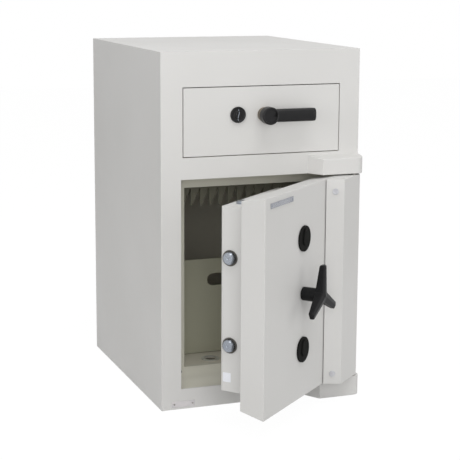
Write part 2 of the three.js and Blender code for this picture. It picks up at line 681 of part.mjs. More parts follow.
// Three-armed handle on its spindle, and the drive plate inside the bolt box
function addHandle() {
  const front = -star.ahead;
  const back = front + star.middleDepth;
  const half = star.rootWidth / 2;
  const outline = [];
  const armAngles = [90, 210, 330];
  const tapers = [];
  for (const angle of armAngles) {
    const side = [
      [front, -half], [front, star.armLength], [front + star.tipDepth, star.armLength],
      [back, 0], [back, -half],
    ];
    tapers.push(prismX(side, [-star.rootWidth, star.rootWidth]).rotate([0, armAngles[0] - angle, 0]));
    const turn = THREE.MathUtils.degToRad(angle);
    const along = (length, side) => [
      spindle.x + length * Math.cos(turn) - side * Math.sin(turn),
      spindle.z + length * Math.sin(turn) + side * Math.cos(turn),
    ];
    const tip = star.tipWidth / 2;
    outline.push(
      along(star.bossRadius, -half),
      along(star.armLength - tip, -tip), along(star.armLength, -tip / 2),
      along(star.armLength, tip / 2), along(star.armLength - tip, tip),
      along(star.bossRadius, half));
  }
  const wedges = tapers[0].add(tapers[1]).add(tapers[2]).translate([spindle.x, 0, spindle.z]);
  const arms = prismY(outline, [front, back]).intersect(wedges);
  const boss = rodY(star.bossRadius, spindle.x, [front - star.rise, back], spindle.z);
  const neck = rodY(star.hubRadius, spindle.x, [back - star.rise, -seatGap], spindle.z);
  const neckBore = rodY(spindle.radius + seatGap, spindle.x, [back, cutOverrun], spindle.z, smallRound);
  place('star_handle', arms.add(boss).add(neck).subtract(neckBore), blackPlastic, doorClosed);

  const shaft = rodY(spindle.radius, spindle.x, [back + seatGap, spindle.back], spindle.z, smallRound);
  let drive = rodY(cam.radius, spindle.x, [cam.front, cam.front + cam.thickness], spindle.z).add(shaft);
  for (const { x, z, rear } of camPins()) {
    const range = rear
      ? [cam.front + cam.thickness / 2, cam.front + cam.thickness + cam.pinLength]
      : [cam.front - cam.pinLength, cam.front + cam.thickness / 2];
    drive = drive.add(rodY(cam.pinRadius, x, range, z, smallRound));
  }
  place('handle_spindle', drive, rawSteel, doorClosed);
}

// Where the drive plate's pins stand with the bolts drawn in
function camPins() {
  const along = Math.sin(halfTurn);
  const across = Math.cos(halfTurn);
  const { sidePin, rodPin } = cam;
  return [
    { x: spindle.x + sidePin * along, z: spindle.z + sidePin * across, rear: true },
    { x: spindle.x + rodPin * across, z: spindle.z - rodPin * along, rear: false },
    { x: spindle.x - rodPin * across, z: spindle.z + rodPin * along, rear: false },
  ];
}

function boltSolid(length) {
  const { radius, chamfer } = bolt;
  return turned([
    [0, 0], [radius, 0], [radius, length - chamfer], [radius - chamfer, length], [0, length],
  ]);
}

function addSideBolts() {
  const [sidePin] = camPins();
  const playRadius = cam.pinRadius + pinPlay;
  const { left, front, barWidth, armDepth, armHeight, endMargin } = carriage;
  const sweep = cam.sidePin * (1 - Math.cos(halfTurn));
  const bar = block([left, left + barWidth], [front, 2 * bolt.y - front],
    [bolt.lowerZ - endMargin, bolt.upperZ + endMargin]);
  const armZ = sidePin.z + sweep / 2;
  const plate = block([left, sidePin.x + armHeight], [front, front + armDepth],
    [armZ - armHeight / 2, armZ + armHeight / 2]);
  const slotCut = block(
    [sidePin.x - playRadius, sidePin.x + playRadius],
    [front - cutOverrun, front + armDepth + cutOverrun],
    [sidePin.z - playRadius, sidePin.z + sweep + playRadius]);
  place('bolt_carriage', bar.add(plate).subtract(slotCut), rawSteel, doorClosed);

  const back = left - seatGap;
  const flangeRight = boltBox.left - seatGap;
  const flangeLeft = flangeRight - bush.flangeHeight;
  const neckRight = flangeRight + bush.neckLength;
  const flangeRadius = bolt.radius + bush.flangeWidth;
  const heights = [['upper', bolt.upperZ], ['lower', bolt.lowerZ]];
  for (const [which, z] of heights) {
    const geometry = boltSolid(back - bolt.tip).rotateY(-Math.PI / 2).translate(back, bolt.y, z);
    place(`side_bolt_${which}`, toSolid(geometry), chrome, doorClosed);

    const ring = rodX(flangeRadius, [flangeLeft, flangeRight], bolt.y, z)
      .add(rodX(bush.neckRadius, [(flangeLeft + flangeRight) / 2, neckRight], bolt.y, z))
      .subtract(rodX(bolt.radius + runGap, [flangeLeft - cutOverrun, neckRight + cutOverrun], bolt.y, z));
    place(`side_bolt_bush_${which}`, ring, rawSteel, doorClosed);
  }
}

// The top and bottom bolts hang on flat links that the drive plate's front pins move
function addRodBolts() {
  const [, topPin, bottomPin] = camPins();
  const playRadius = cam.pinRadius + pinPlay;
  const sweep = cam.rodPin * (1 - Math.cos(halfTurn));
  const flat = [link.front, link.front + link.depth];
  const cut = [link.front - cutOverrun, link.front + link.depth + cutOverrun];
  const across = [rodBolt.x - link.width / 2, rodBolt.x + link.width / 2];
  const eye = link.armHeight / 2 + playRadius;
  const legInner = spindle.radius + link.shaftGap;

  const foot = rodBolt.top - rodBolt.length;
  const armZ = bottomPin.z + eye + link.armGap;
  const legRight = topPin.x + link.legRim;
  const topBolt = toSolid(boltSolid(rodBolt.length).translate(rodBolt.x, rodBolt.y, foot))
    .add(block(across, [link.front, rodBolt.y], [foot, foot + link.footHeight]))
    .add(block(across, flat, [armZ, foot + link.footHeight]))
    .add(block([across[0], legRight], flat, [armZ, armZ + link.armHeight]))
    .add(block([spindle.x + legInner, legRight], flat, [topPin.z - eye, armZ + link.armHeight]))
    .subtract(block([topPin.x - playRadius, topPin.x + sweep + playRadius], cut,
      [topPin.z - playRadius, topPin.z + playRadius]));
  place('top_bolt', topBolt, chrome, doorClosed);

  const head = rodBolt.bottom + rodBolt.length;
  const turnedDown = boltSolid(rodBolt.length).rotateX(Math.PI).translate(rodBolt.x, rodBolt.y, head);
  const bottomBolt = toSolid(turnedDown)
    .add(block(across, [link.front, rodBolt.y], [head - link.footHeight, head]))
    .add(block(across, flat, [head - link.footHeight, bottomPin.z + eye]))
    .add(block([across[0], spindle.x - legInner], flat, [bottomPin.z - eye, bottomPin.z + eye]))
    .subtract(block([bottomPin.x - sweep - playRadius, bottomPin.x + playRadius], cut,
      [bottomPin.z - playRadius, bottomPin.z + playRadius]));
  place('bottom_bolt', bottomBolt, chrome, doorClosed);
}

// Thick drawer front and the tray behind it, whose rear floor is a flap that hangs open when shut
function addDrawer() {
  const { gap, thickness } = drawerFront;
  const through = [-cutOverrun, thickness + cutOverrun];
  const front = block(
    [bay.left + gap, bay.right - gap], [0, thickness], [bay.floor + gap, bay.ceiling - gap])
    .subtract(rodY(lever.spindleRadius + runGap, lever.x, through, lever.z, smallRound))
    .subtract(rodY(drawerLock.barrelRadius + seatGap, drawerLock.x, through, drawerLock.z, smallRound));
  place('drawer_front', front, whitePaint, safe);

  const outer = [bay.left + tray.sideInset, bay.right - tray.sideInset];
  const inner = [outer[0] + tray.wall, outer[1] - tray.wall];
  const length = [thickness, tray.back];
  const hingeZ = tray.floor - flap.below;
  const wallZ = [tray.skirt, tray.top];
  const trunnionHole = rodX(flap.trunnion + seatGap,
    [outer[0] - cutOverrun, outer[1] + cutOverrun], tray.hingeY, hingeZ, smallRound);
  const box = block(outer, [tray.back - tray.wall, tray.back], [tray.floor, tray.top])
    .add(block(outer, [thickness, tray.hingeY - flap.knuckle - runGap],
      [tray.floor, tray.floor + tray.wall]))
    .add(block([outer[0], inner[0]], length, wallZ))
    .add(block([inner[1], outer[1]], length, wallZ))
    .subtract(trunnionHole);
  place('drawer_tray', box, greyPaint, safe);

  const flapX = [bay.left + flap.sideInset, bay.right - flap.sideInset];
  const hang = THREE.MathUtils.degToRad(flap.angle);
  const across = [Math.sin(hang) * flap.thickness, Math.cos(hang) * flap.thickness];
  const down = [Math.cos(hang) * flap.length, -Math.sin(hang) * flap.length];
  const sheet = [
    [0, 0], down, [down[0] + across[0], down[1] + across[1]], across,
  ].map(([y, z]) => [tray.hingeY + y, hingeZ + z]);
  const leaf = prismX(sheet, flapX)
    .add(rodX(flap.knuckle, flapX, tray.hingeY, hingeZ, smallRound))
    .add(rodX(flap.trunnion, outer, tray.hingeY, hingeZ, smallRound));
  place('drop_flap', leaf, greyPaint, safe);

  const hook = block(
    [drawerLock.x - strike.lockReach, lever.x + strike.leverReach],
    [strike.front, strike.front + strike.thickness],
    [bay.ceiling - strike.height, bay.ceiling]);
  place('drawer_strike', hook, rawSteel, safe);
}

// Runners on the tray's sides slide in channel rails on the bay's walls
function addRunners() {
  const sides = [
    ['left', (from, to) => [bay.left + from, bay.left + to]],
    ['right', (from, to) => [bay.right - to, bay.right - from]],
  ];
  const railY = [rail.front, rail.back];
  const grooveY = [rail.front - cutOverrun, rail.back + cutOverrun];
  const grooveZ = [rail.bottom + rail.lip, rail.bottom + rail.height - rail.lip];
  const runnerY = [drawerFront.thickness, bay.back - runner.backGap];
  for (const [side, reach] of sides) {
    const groove = block(reach(rail.web, rail.width + cutOverrun), grooveY, grooveZ);
    const channelBar = block(reach(0, rail.width), railY, [rail.bottom, rail.bottom + rail.height]);
    place(`drawer_rail_${side}`, channelBar.subtract(groove), rawSteel, safe);

    const bar = block(reach(rail.web + runGap, tray.sideInset), runnerY,
      [grooveZ[0] + runGap, grooveZ[1] - runGap]);
    place(`drawer_runner_${side}`, bar, rawSteel, safe);
  }
}

// A flat arm of the given length that points to the left, with a round hub
function tailArm(x, z, length, width, range) {
  const half = width / 2;
  const outline = [
    ...arcPoints(x, z, half, -90, 90, round / 4),
    ...arcPoints(x - length + half, z, half, 90, 270, round / 4),
  ];
  return prismY(outline, range);
}

function addDrawerFittings() {
  const collarBore = rodY(lever.spindleRadius + runGap, lever.x,
    [-lever.collarHeight - cutOverrun, cutOverrun], lever.z, smallRound);
  const collar = rodY(lever.collarRadius, lever.x, [-lever.collarHeight, 0], lever.z);
  place('lever_collar', collar.subtract(collarBore), rawSteel, safe);

  const hubBack = -lever.collarHeight - seatGap;
  const hub = rodY(lever.hubRadius, lever.x, [-lever.front, hubBack], lever.z);
  const barRadius = lever.barHeight / 2;
  const barProfile = [
    [0, 0],
    [barRadius, 0],
    ...arcPoints(0, lever.length - barRadius, barRadius, 0, 90, round / 4),
  ];
  const flatten = lever.barDepth / lever.barHeight;
  const bar = turned(barProfile)
    .rotateY(Math.PI / 2)
    .scale(1, flatten, 1)
    .translate(lever.x, -lever.front + lever.barDepth / 2, lever.z);
  const latchEnd = latch.front + latch.thickness;
  const shaft = rodY(
    lever.spindleRadius, lever.x, [hubBack - cutOverrun, latch.front], lever.z, smallRound);
  place('drawer_lever', hub.add(toSolid(bar)).add(shaft), blackPlastic, safe);

  const latchCam = tailArm(lever.x, lever.z, latch.length, latch.width, [latch.front, latchEnd]);
  place('latch_cam', latchCam, rawSteel, safe);

  const { x, z, flangeRadius, flangeHeight, barrelRadius, plugRadius, keyway } = drawerLock;
  const plugWay = rodY(plugRadius + seatGap, x,
    [-flangeHeight - cutOverrun, latch.front + cutOverrun], z, smallRound);
  const barrel = rodY(flangeRadius, x, [-flangeHeight, 0], z)
    .add(rodY(barrelRadius, x, [-flangeHeight / 2, latch.front - runGap], z));
  place('drawer_lock_barrel', barrel.subtract(plugWay), blackPlastic, safe);
  const key = block(
    [x - keyway / 2, x + keyway / 2], [-flangeHeight - cutOverrun, 0], [z - 2 * keyway, z + 2 * keyway]);
  const plug = rodY(plugRadius, x, [-flangeHeight, (latch.front + latchEnd) / 2], z, smallRound)
    .subtract(key)
    .add(tailArm(x, z, latch.length, latch.width, [latch.front, latchEnd]));
  place('drawer_lock_plug', plug, chrome, safe);
}

addCasing();
addDoorFrame();
addInnerRooms();
addComb('front_comb', panel.front);
addComb('rear_comb', panel.front + comb.spacing);
addRetainingPanel();
addStrikeRing();
addRatingPlate();
addHingeHousings();
addSlab();
addBoltBox();
addHingeCover();
addScrewCaps();
addNameplate();
addLocks();
addHandle();
addSideBolts();
addRodBolts();
addDrawer();
addRunners();
addDrawerFittings();

export default safe;
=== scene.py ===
"""Dresses the drop safe: painted sheet steel, black furniture, boltwork, drawer and studio."""

import json
import math

import bmesh
import bpy
from bpy.props import FloatProperty, FloatVectorProperty, IntProperty, PointerProperty
from mathutils import Matrix, Vector

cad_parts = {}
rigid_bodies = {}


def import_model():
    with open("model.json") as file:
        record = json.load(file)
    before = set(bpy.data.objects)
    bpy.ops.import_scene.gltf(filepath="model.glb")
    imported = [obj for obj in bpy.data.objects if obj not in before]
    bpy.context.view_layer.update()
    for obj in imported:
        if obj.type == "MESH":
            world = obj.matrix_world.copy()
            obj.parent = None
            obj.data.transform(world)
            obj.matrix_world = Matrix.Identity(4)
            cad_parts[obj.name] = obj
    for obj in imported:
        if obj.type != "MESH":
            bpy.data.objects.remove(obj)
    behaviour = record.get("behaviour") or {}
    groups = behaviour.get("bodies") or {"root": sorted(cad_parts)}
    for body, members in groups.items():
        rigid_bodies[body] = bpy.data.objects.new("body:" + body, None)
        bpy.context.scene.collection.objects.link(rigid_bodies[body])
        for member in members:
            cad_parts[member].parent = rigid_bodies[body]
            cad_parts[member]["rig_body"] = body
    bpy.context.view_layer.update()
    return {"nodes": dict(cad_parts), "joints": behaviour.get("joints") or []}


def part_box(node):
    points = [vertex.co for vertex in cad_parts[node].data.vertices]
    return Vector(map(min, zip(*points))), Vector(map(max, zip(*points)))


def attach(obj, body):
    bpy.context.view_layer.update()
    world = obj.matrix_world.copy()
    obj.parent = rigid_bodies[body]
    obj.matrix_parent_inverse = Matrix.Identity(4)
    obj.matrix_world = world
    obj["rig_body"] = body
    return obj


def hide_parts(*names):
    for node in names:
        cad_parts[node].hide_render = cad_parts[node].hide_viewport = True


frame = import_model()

bl_info = {
    "name": "Drop safe with deposit drawer",
    "version": (1, 0, 0),
    "blender": (4, 5, 0),
    "location": "3D View > Sidebar > Drop Safe",
    "description": "Builds the painted shell, door furniture, boltwork and drawer of a drop safe",
    "category": "Object",
}

NODES = frame["nodes"]
CAD_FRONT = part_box("outer_casing")[0].y
CABINET = Matrix.Identity(4)

SHARP = math.radians(28)  # edges that turn by more are rounded
FLAT = math.radians(0.5)  # faces that turn by less are one face
SMOOTH = 32  # degrees that an edge may turn by and still be shaded smooth
SAME_POINT = 1e-5
SAME_PLANE = 0.0005


def middle(low, high):
    return (low + high) / 2


def door_turn():
    """Takes a point of the shut door to where the door hangs open."""
    swing = next(j for j in frame["joints"] if j["name"] == "door_hinge")["range_deg"][0]
    pin = middle(*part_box("lower_hinge_pin"))
    axis = Matrix.Translation((pin.x, pin.y, 0))
    return axis @ Matrix.Rotation(math.radians(-swing), 4, "Z") @ axis.inverted()


DOOR = door_turn()


def shut_box(node):
    """Lowest and highest corner of a door node with the door shut."""
    back = DOOR.inverted()
    points = [back @ v.co for v in NODES[node].data.vertices]
    return tuple(Vector([pick(p[i] for p in points) for i in range(3)]) for pick in (min, max))


def outward(x, y, z):
    """Local x to the right, y up and z out towards the front, from a point on a front face."""
    return Matrix.Translation((x, y, z)) @ Matrix.Rotation(math.pi / 2, 4, "X")


def sideways(x, y, z):
    """Local z towards the left, from a point on a bolt's axis."""
    return Matrix.Translation((x, y, z)) @ Matrix.Rotation(-math.pi / 2, 4, "Y")


def linear(value):
    """A screen level, 0 to 255, as the linear level that Blender's sockets take."""
    value /= 255
    return value / 12.92 if value <= 0.04045 else ((value + 0.055) / 1.055) ** 2.4


def colour(name, description, *screen):
    return FloatVectorProperty(
        name=name, description=description, default=[linear(level) for level in screen],
        size=3, min=0, max=1, subtype="COLOR")


def number(name, description, value, low=0, **kind):
    return FloatProperty(name=name, description=description, default=value, min=low, **kind)


def length(name, description, value):
    return number(name, description, value, unit="LENGTH", subtype="DISTANCE", precision=4)


class SafeColours(bpy.types.PropertyGroup):
    """Colours of the safe's finishes."""

    paint: colour("Paint", "Light grey powder coat outside", 210, 209, 207)
    inner_paint: colour("Inner paint", "Grey paint of the panel, its channels and the tray", 168, 167, 149)
    liner_paint: colour("Liner paint", "Pale paint of the chamber's walls", 206, 202, 188)
    concrete: colour("Concrete", "Cast barrier in the walls and the door", 140, 136, 126)
    black: colour("Black plastic", "Moulded lever, lock flange and stop", 17, 17, 18)
    bright_steel: colour("Bright steel", "Plated bolts, keyway and lock plug", 150, 155, 163)
    plain_steel: colour("Plain steel", "Zinc-plated hinge arms, rails and links", 150, 148, 144)
    cap: colour("Cap plastic", "Caps over the hinge cover's screws", 196, 196, 200)
    bronze: colour("Bronze", "Sintered washer under the door", 140, 112, 74)
    knurl: colour("Knurl", "Browned steel of the lever's collar", 156, 148, 136)
    # Painted shade: the bushes' dark grey stands in for the shadow in the clearance round each side bolt.
    dark_steel: colour("Dark steel", "Oiled bushes round the side bolts", 92, 90, 86)
    ring: colour("Ring", "Scuffed steel of the floor's strike ring", 196, 196, 188)
    label: colour("Label", "Bare adhesive label", 228, 230, 236)
    # Warmer than the casing's paint, and darkened as painted shade of the door's recess.
    frame_paint: colour("Frame paint", "Grey paint of the door's frame", 198, 196, 184)
    # Painted shade: the combs hang deep in the chamber, and this darker grey stands in for their shade.
    comb_paint: colour("Comb paint", "Dark grey of the saw-toothed combs", 122, 120, 106)
    plate: colour("Small plate", "Brushed plate at the foot of the cabinet", 198, 194, 194)
    nameplate: colour("Nameplate", "Bare plate on the door", 156, 158, 164)
    handle: colour("Handle", "Black of the three-armed handle", 26, 26, 27)
    disc: colour("Disc", "Black of the keyhole discs and their covers", 31, 31, 30)


class SafeEdges(bpy.types.PropertyGroup):
    """Radii of the rounded edges."""

    casing: length("Casing", "Edge radius of the folded casing", 0.0014)
    plate: length("Plate", "Edge radius of plates and housings", 0.0009)
    thin: length("Thin sheet", "Edge radius of thin sheets", 0.0004)
    moulding: length("Moulding", "Edge radius of moulded discs", 0.0012)


class SafeComb(bpy.types.PropertyGroup):
    """The saw-toothed plates under the chute."""

    teeth: IntProperty(name="Teeth", description="Teeth across the chamber", default=16, min=2)
    band: length("Band", "Height of the plain band over the teeth", 0.043)
    tip: length("Tip", "Width of a tooth's blunt tip", 0.003)
    lead: length("Lead", "How far a tooth's steep flank leans", 0.0005)


class SafeStar(bpy.types.PropertyGroup):
    """Three-armed handle."""

    arm: length("Arm", "From the middle to an arm's end", 0.072)
    root: length("Root", "Width of an arm at the middle", 0.0255)
    tip: length("Tip", "Width of an arm at its end", 0.017)
    front: length("Front", "From the door to the arms' side edges", 0.055)
    middle_depth: length("Middle depth", "Depth of the arms at the middle", 0.021)
    tip_depth: length("Tip depth", "Depth of an arm at its end", 0.011)
    ridge: length("Ridge", "How far the ridge stands over the side edges", 0.0024)
    facet: length("Facet", "Length of the sloping facet at an arm's end", 0.0034)
    hub: length("Hub", "Radius of the round hub", 0.016)
    voxel: length("Grain", "Size at which the moulding is blended", 0.0006)


class SafeLever(bpy.types.PropertyGroup):
    """Lever and lock of the drawer."""

    rim: length("Rim", "Width of the raised ring on the hub", 0.0042)
    dish: length("Dish", "Depth of the hub's dished face", 0.0034)
    notch: length("Notch", "Height of the slot beside the hub's middle", 0.0086)
    bar_height: length("Bar height", "Height of the bar", 0.031)
    bar_depth: length("Bar depth", "Depth of the bar", 0.022)
    end_round: length("End", "Rounding of the bar's end", 0.0018)
    groove: length("Groove", "From the bar's end to the line round it", 0.0058)
    shaft: length("Shaft", "Radius of the shaft through the collar", 0.008)
    ribs: IntProperty(name="Ribs", description="Ribs round the collar", default=84, min=8)
    rib: length("Rib", "Height of a rib of the knurled collar", 0.0005)
    keyway: length("Keyway", "Height of the drawer lock's wavy keyway", 0.026)


class SafeFasteners(bpy.types.PropertyGroup):
    """Screws, rivets and other small furniture."""

    screw: length("Screw", "Radius of a cover screw's head", 0.0052)
    screw_height: length("Screw height", "Height of a cover screw's head", 0.0026)
    rivet: length("Rivet", "Radius of a plate's rivet", 0.0016)
    rivet_height: length("Rivet height", "Height of a plate's rivet", 0.0008)
    inset: length("Inset", "From a cover's edge to its screws", 0.013)
    seam: length("Seam", "Gap between the hinge cover's free edge and the door", 0.0020)
    rise: length("Rise", "How far the hinge cover reaches up towards the housing", 0.0025)
    stop: length("Stop", "Radius of the rubber stop beside the door", 0.0042)
    label_width: length("Label width", "Width of the bare label", 0.020)
    label_height: length("Label height", "Height of the bare label", 0.022)


class SafeStage(bpy.types.PropertyGroup):
    """Studio and camera."""

    daylight: number("Daylight", "Level of the light from all round", 0.50)
    upper: number("Upper lamp", "Power of the large lamp over the front", 78)
    front: number("Front lamp", "Power of the large lamp in front", 60)
    left: number("Left lamp", "Power of the large lamp on the left", 40)
    right: number("Right lamp", "Power of the large lamp on the right", 22)
    lamp_size: length("Lamp size", "Width of the large lamps", 3.0)
    lamp_reach: length("Lamp reach", "From the safe to the lamps", 4.6)
    floor: length("Floor", "Width of the floor", 16)
    lens: number("Lens", "Focal length in mm on a 36 mm sensor", 106.3, low=1)


class SafeSettings(bpy.types.PropertyGroup):
    """All settings of the drop safe."""

    colours: PointerProperty(type=SafeColours)
    edges: PointerProperty(type=SafeEdges)
    comb: PointerProperty(type=SafeComb)
    star: PointerProperty(type=SafeStar)
    lever: PointerProperty(type=SafeLever)
    fasteners: PointerProperty(type=SafeFasteners)
    stage: PointerProperty(type=SafeStage)


class Nodes:
    """A node tree, built a node at a time."""

    def __init__(self, tree):
        self.tree = tree

    def add(self, kind, settings=None, **inputs):
        """A node of that kind. An input, by its name or as i and its place, takes a socket or a value."""
        node = self.tree.nodes.new(kind)
        for name, value in (settings or {}).items():
            setattr(node, name, value)
        for name, value in inputs.items():
            socket = node.inputs[int(name[1:]) if name[1:].isdigit() else name.replace("_", " ")]
            if isinstance(value, bpy.types.NodeSocket):
                self.tree.links.new(value, socket)
            else:
                socket.default_value = value
        return node

    def math(self, operation, *values):
        places = {f"i{place}": value for place, value in enumerate(values)}
        return self.add("ShaderNodeMath", {"operation": operation}, **places).outputs[0]

    def mixed(self, share, first, second):
        """Two shaders mixed."""
        return self.add("ShaderNodeMixShader", i0=share, i1=first.outputs[0], i2=second.outputs[0]).outputs[0]

    def seen(self):
        """1 for camera, glossy and transmission rays."""
        rays = self.add("ShaderNodeLightPath").outputs
        either = self.math("MAXIMUM", rays["Is Camera Ray"], rays["Is Glossy Ray"])
        return self.math("MAXIMUM", either, rays["Is Transmission Ray"])


def emptied(owner):
    """The empty node tree of a material or a world."""
    owner.use_nodes = True
    owner.node_tree.nodes.clear()
    return owner.node_tree


class Shader(Nodes):
    """One node-based material."""

    def __init__(self, name, base, roughness, metallic=0.0, specular=0.5):
        self.material = bpy.data.materials.new(name)
        self.material.diffuse_color = (*base, 1)
        super().__init__(emptied(self.material))
        self.base, self.roughness = base, roughness
        self.surface = self.add(
            "ShaderNodeBsdfPrincipled", Base_Color=(*base, 1), Roughness=roughness, Metallic=metallic,
            Specular_IOR_Level=specular)
        self.add("ShaderNodeOutputMaterial", Surface=self.surface.outputs["BSDF"])
        self.spot = self.add("ShaderNodeTexCoord").outputs["Object"]

    def noise(self, scale, detail=3.0, stretch=(1, 1, 1), rough=0.55):
        """Noise on the object's own coordinates, scale in cells a metre."""
        mapping = self.add("ShaderNodeMapping", Vector=self.spot, Scale=stretch)
        return self.add(
            "ShaderNodeTexNoise", Vector=mapping.outputs["Vector"], Scale=scale, Detail=detail,
            Roughness=rough).outputs["Fac"]

    def tint(self, noise, low, high, spread=(0.35, 0.65)):
        """Varies the colour between two shares of the base."""
        ramp = self.add("ShaderNodeValToRGB", Fac=noise)
        for element, position, shares in zip(ramp.color_ramp.elements, spread, (low, high)):
            element.position = position
            element.color = (*[min(1, level * share) for level, share in zip(self.base, shares)], 1)
        self.tree.links.new(ramp.outputs["Color"], self.surface.inputs["Base Color"])

    def gloss(self, noise, less, more):
        """Varies the roughness from so much less to so much more."""
        spread = self.add(
            "ShaderNodeMapRange", Value=noise, To_Min=self.roughness - less, To_Max=self.roughness + more)
        self.tree.links.new(spread.outputs["Result"], self.surface.inputs["Roughness"])

    def relief(self, noise, depth, strength, below=None):
        """Adds bump of that depth in metres, over an earlier one."""
        under = {"Normal": below} if below else {}
        bump = self.add("ShaderNodeBump", Strength=strength, Distance=depth, Height=noise, **under)
        self.tree.links.new(bump.outputs["Normal"], self.surface.inputs["Normal"])
        return bump.outputs["Normal"]


def powder_coat(name, base, roughness):
    """Powder coat: a fine orange peel, faint clouds of tint and uneven gloss."""
    shader = Shader(name, base, roughness, specular=0.22)
    shader.tint(shader.noise(2.2, 2.0), (0.965, 0.965, 0.96), (1.02, 1.02, 1.02))
    shader.gloss(shader.noise(38), less=0.05, more=0.06)
    waves = shader.relief(shader.noise(150, 2.0), depth=0.0003, strength=0.10)
    shader.relief(shader.noise(900, 2.0), depth=0.00012, strength=0.32, below=waves)
    return shader.material


def plated(name, base, roughness, stretch=(1, 1, 1)):
    """Turned and plated steel with fine tool marks."""
    shader = Shader(name, base, roughness, metallic=1.0)
    marks = shader.noise(900, 2.0, stretch)
    shader.tint(shader.noise(24), (0.86, 0.87, 0.89), (1.06, 1.06, 1.05))
    shader.gloss(marks, less=0.06, more=0.10)
    shader.relief(marks, depth=0.00006, strength=0.5)
    return shader.material


def rolled(name, base, roughness, metallic=0.92):
    """Rolled steel under thin zinc, mottled in patches."""
    shader = Shader(name, base, roughness, metallic=metallic)
    shader.tint(shader.noise(55, 6.0, rough=0.7), (0.72, 0.72, 0.74), (1.10, 1.09, 1.06), (0.3, 0.7))
    shader.gloss(shader.noise(90, 4.0), less=0.12, more=0.14)
    shader.relief(shader.noise(500), depth=0.0001, strength=0.35)
    return shader.material


def moulded(name, base, roughness, specular=0.27):
    """Moulded plastic with a fine spark-eroded grain."""
    shader = Shader(name, base, roughness, specular=specular)
    shader.tint(shader.noise(60, 2.0), (0.85, 0.85, 0.86), (1.15, 1.15, 1.14))
    shader.gloss(shader.noise(120), less=0.05, more=0.08)
    shader.relief(shader.noise(1600, 2.0), depth=0.00008, strength=0.4)
    return shader.material


def cast(name, base, roughness):
    """Cast concrete with pores and patches."""
    shader = Shader(name, base, roughness, specular=0.2)
    shader.tint(shader.noise(40, 8.0, rough=0.7), (0.78, 0.78, 0.76), (1.14, 1.13, 1.10), (0.25, 0.75))
    coarse = shader.relief(shader.noise(120, 6.0), depth=0.0012, strength=0.6)
    shader.relief(shader.noise(700), depth=0.0004, strength=0.6, below=coarse)
    return shader.material


def paper(name, base, roughness):
    """Coated paper with a soft sheen."""
    shader = Shader(name, base, roughness)
    shader.tint(shader.noise(300, 4.0), (0.97, 0.97, 0.96), (1.02, 1.02, 1.02))
    shader.relief(shader.noise(220, 2.0), depth=0.00008, strength=0.3)
    return shader.material


# A finish by name: how it is made, its colour setting, its roughness and what else it takes.
FINISHES = {
    "light_grey_paint": (powder_coat, "paint", 0.46),
    "grey_inner_paint": (powder_coat, "inner_paint", 0.58),
    "chamber_paint": (powder_coat, "liner_paint", 0.6),
    # The frame's grey is warmer than the casing's and darkened as painted shade of the recess.
    "frame_paint": (powder_coat, "frame_paint", 0.5),
    # The combs' grey is darker than the inner paint as painted shade of the chamber.
    "comb_paint": (powder_coat, "comb_paint", 0.6),
    "barrier_concrete": (cast, "concrete", 0.92),
    "black_plastic": (moulded, "black", 0.30),
    "handle_plastic": (moulded, "handle", 0.36, 0.10),
    "disc_plastic": (moulded, "disc", 0.5, 0.015),
    "cap_plastic": (moulded, "cap", 0.5),
    "bright_steel": (plated, "bright_steel", 0.24),
    "plate_steel": (plated, "plate", 0.34, (1, 1, 8)),
    "nameplate_steel": (plated, "nameplate", 0.26, (1, 1, 6)),
    "bearing_bronze": (rolled, "bronze", 0.5),
    "plain_steel": (rolled, "plain_steel", 0.46),
    "knurled_steel": (rolled, "knurl", 0.42),
    # The bushes' dark steel is painted shade of the clearance round the side bolts.
    "oiled_steel": (rolled, "dark_steel", 0.5),
    "ring_steel": (rolled, "ring", 0.5, 0.3),
    "label_paper": (paper, "label", 0.42),
}


def finish_of(look):
    """The material of a finish, made on its first use."""
    make, base, *rest = FINISHES[look]
    name, colours = f"{look}_finish", bpy.context.scene.drop_safe.colours
    return bpy.data.materials.get(name) or make(name, getattr(colours, base), *rest)


def skin(bm, rows):
    """Faces between each row of points and the next. A row of one point is a tip."""
    for lower, upper in zip(rows, rows[1:]):
        count = max(len(lower), len(upper))
        for i in range(count):
            corners = [row[place % len(row)]
                       for row, place in ((lower, i), (lower, i + 1), (upper, i + 1), (upper, i))]
            bm.faces.new(list(dict.fromkeys(corners)))


def turned(profile, sides=64):
    """A turned solid from (radius, height) points, from axis to axis, or else round a ring's section."""
    bm = bmesh.new()
    turns = [2 * math.pi * i / sides for i in range(sides)]
    rows = [
        [bm.verts.new((r * math.cos(a), r * math.sin(a), height)) for a in (turns if r else [0])]
        for r, height in profile
    ]
    skin(bm, rows + rows[:1] if profile[0][0] else rows)
    bmesh.ops.recalc_face_normals(bm, faces=bm.faces)
    return bm


def eased(radius, height, steps):
    """Points that ease a turned corner, by (inset, drop) steps off its sharp point."""
    return [(radius - inset, height - drop) for inset, drop in steps]


def lofted(rings):
    """A closed skin over rings with the same number of points."""
    bm = bmesh.new()
    rows = [[bm.verts.new(point) for point in ring] for ring in rings]
    skin(bm, rows)
    bm.faces.new(rows[0][::-1])
    bm.faces.new(rows[-1])
    bmesh.ops.recalc_face_normals(bm, faces=bm.faces)
    return bm


def points_mesh(points):
    bm = bmesh.new()
    for point in points:
        bm.verts.new(point)
    return bm


def merged_copy(node):
    """The node's mesh with its corners joined and its flat faces whole."""
    bm = bmesh.new()
    bm.from_mesh(NODES[node].data)
    bmesh.ops.remove_doubles(bm, verts=bm.verts, dist=SAME_POINT)
    bmesh.ops.dissolve_limit(bm, angle_limit=FLAT, verts=bm.verts, edges=bm.edges)
    return bm


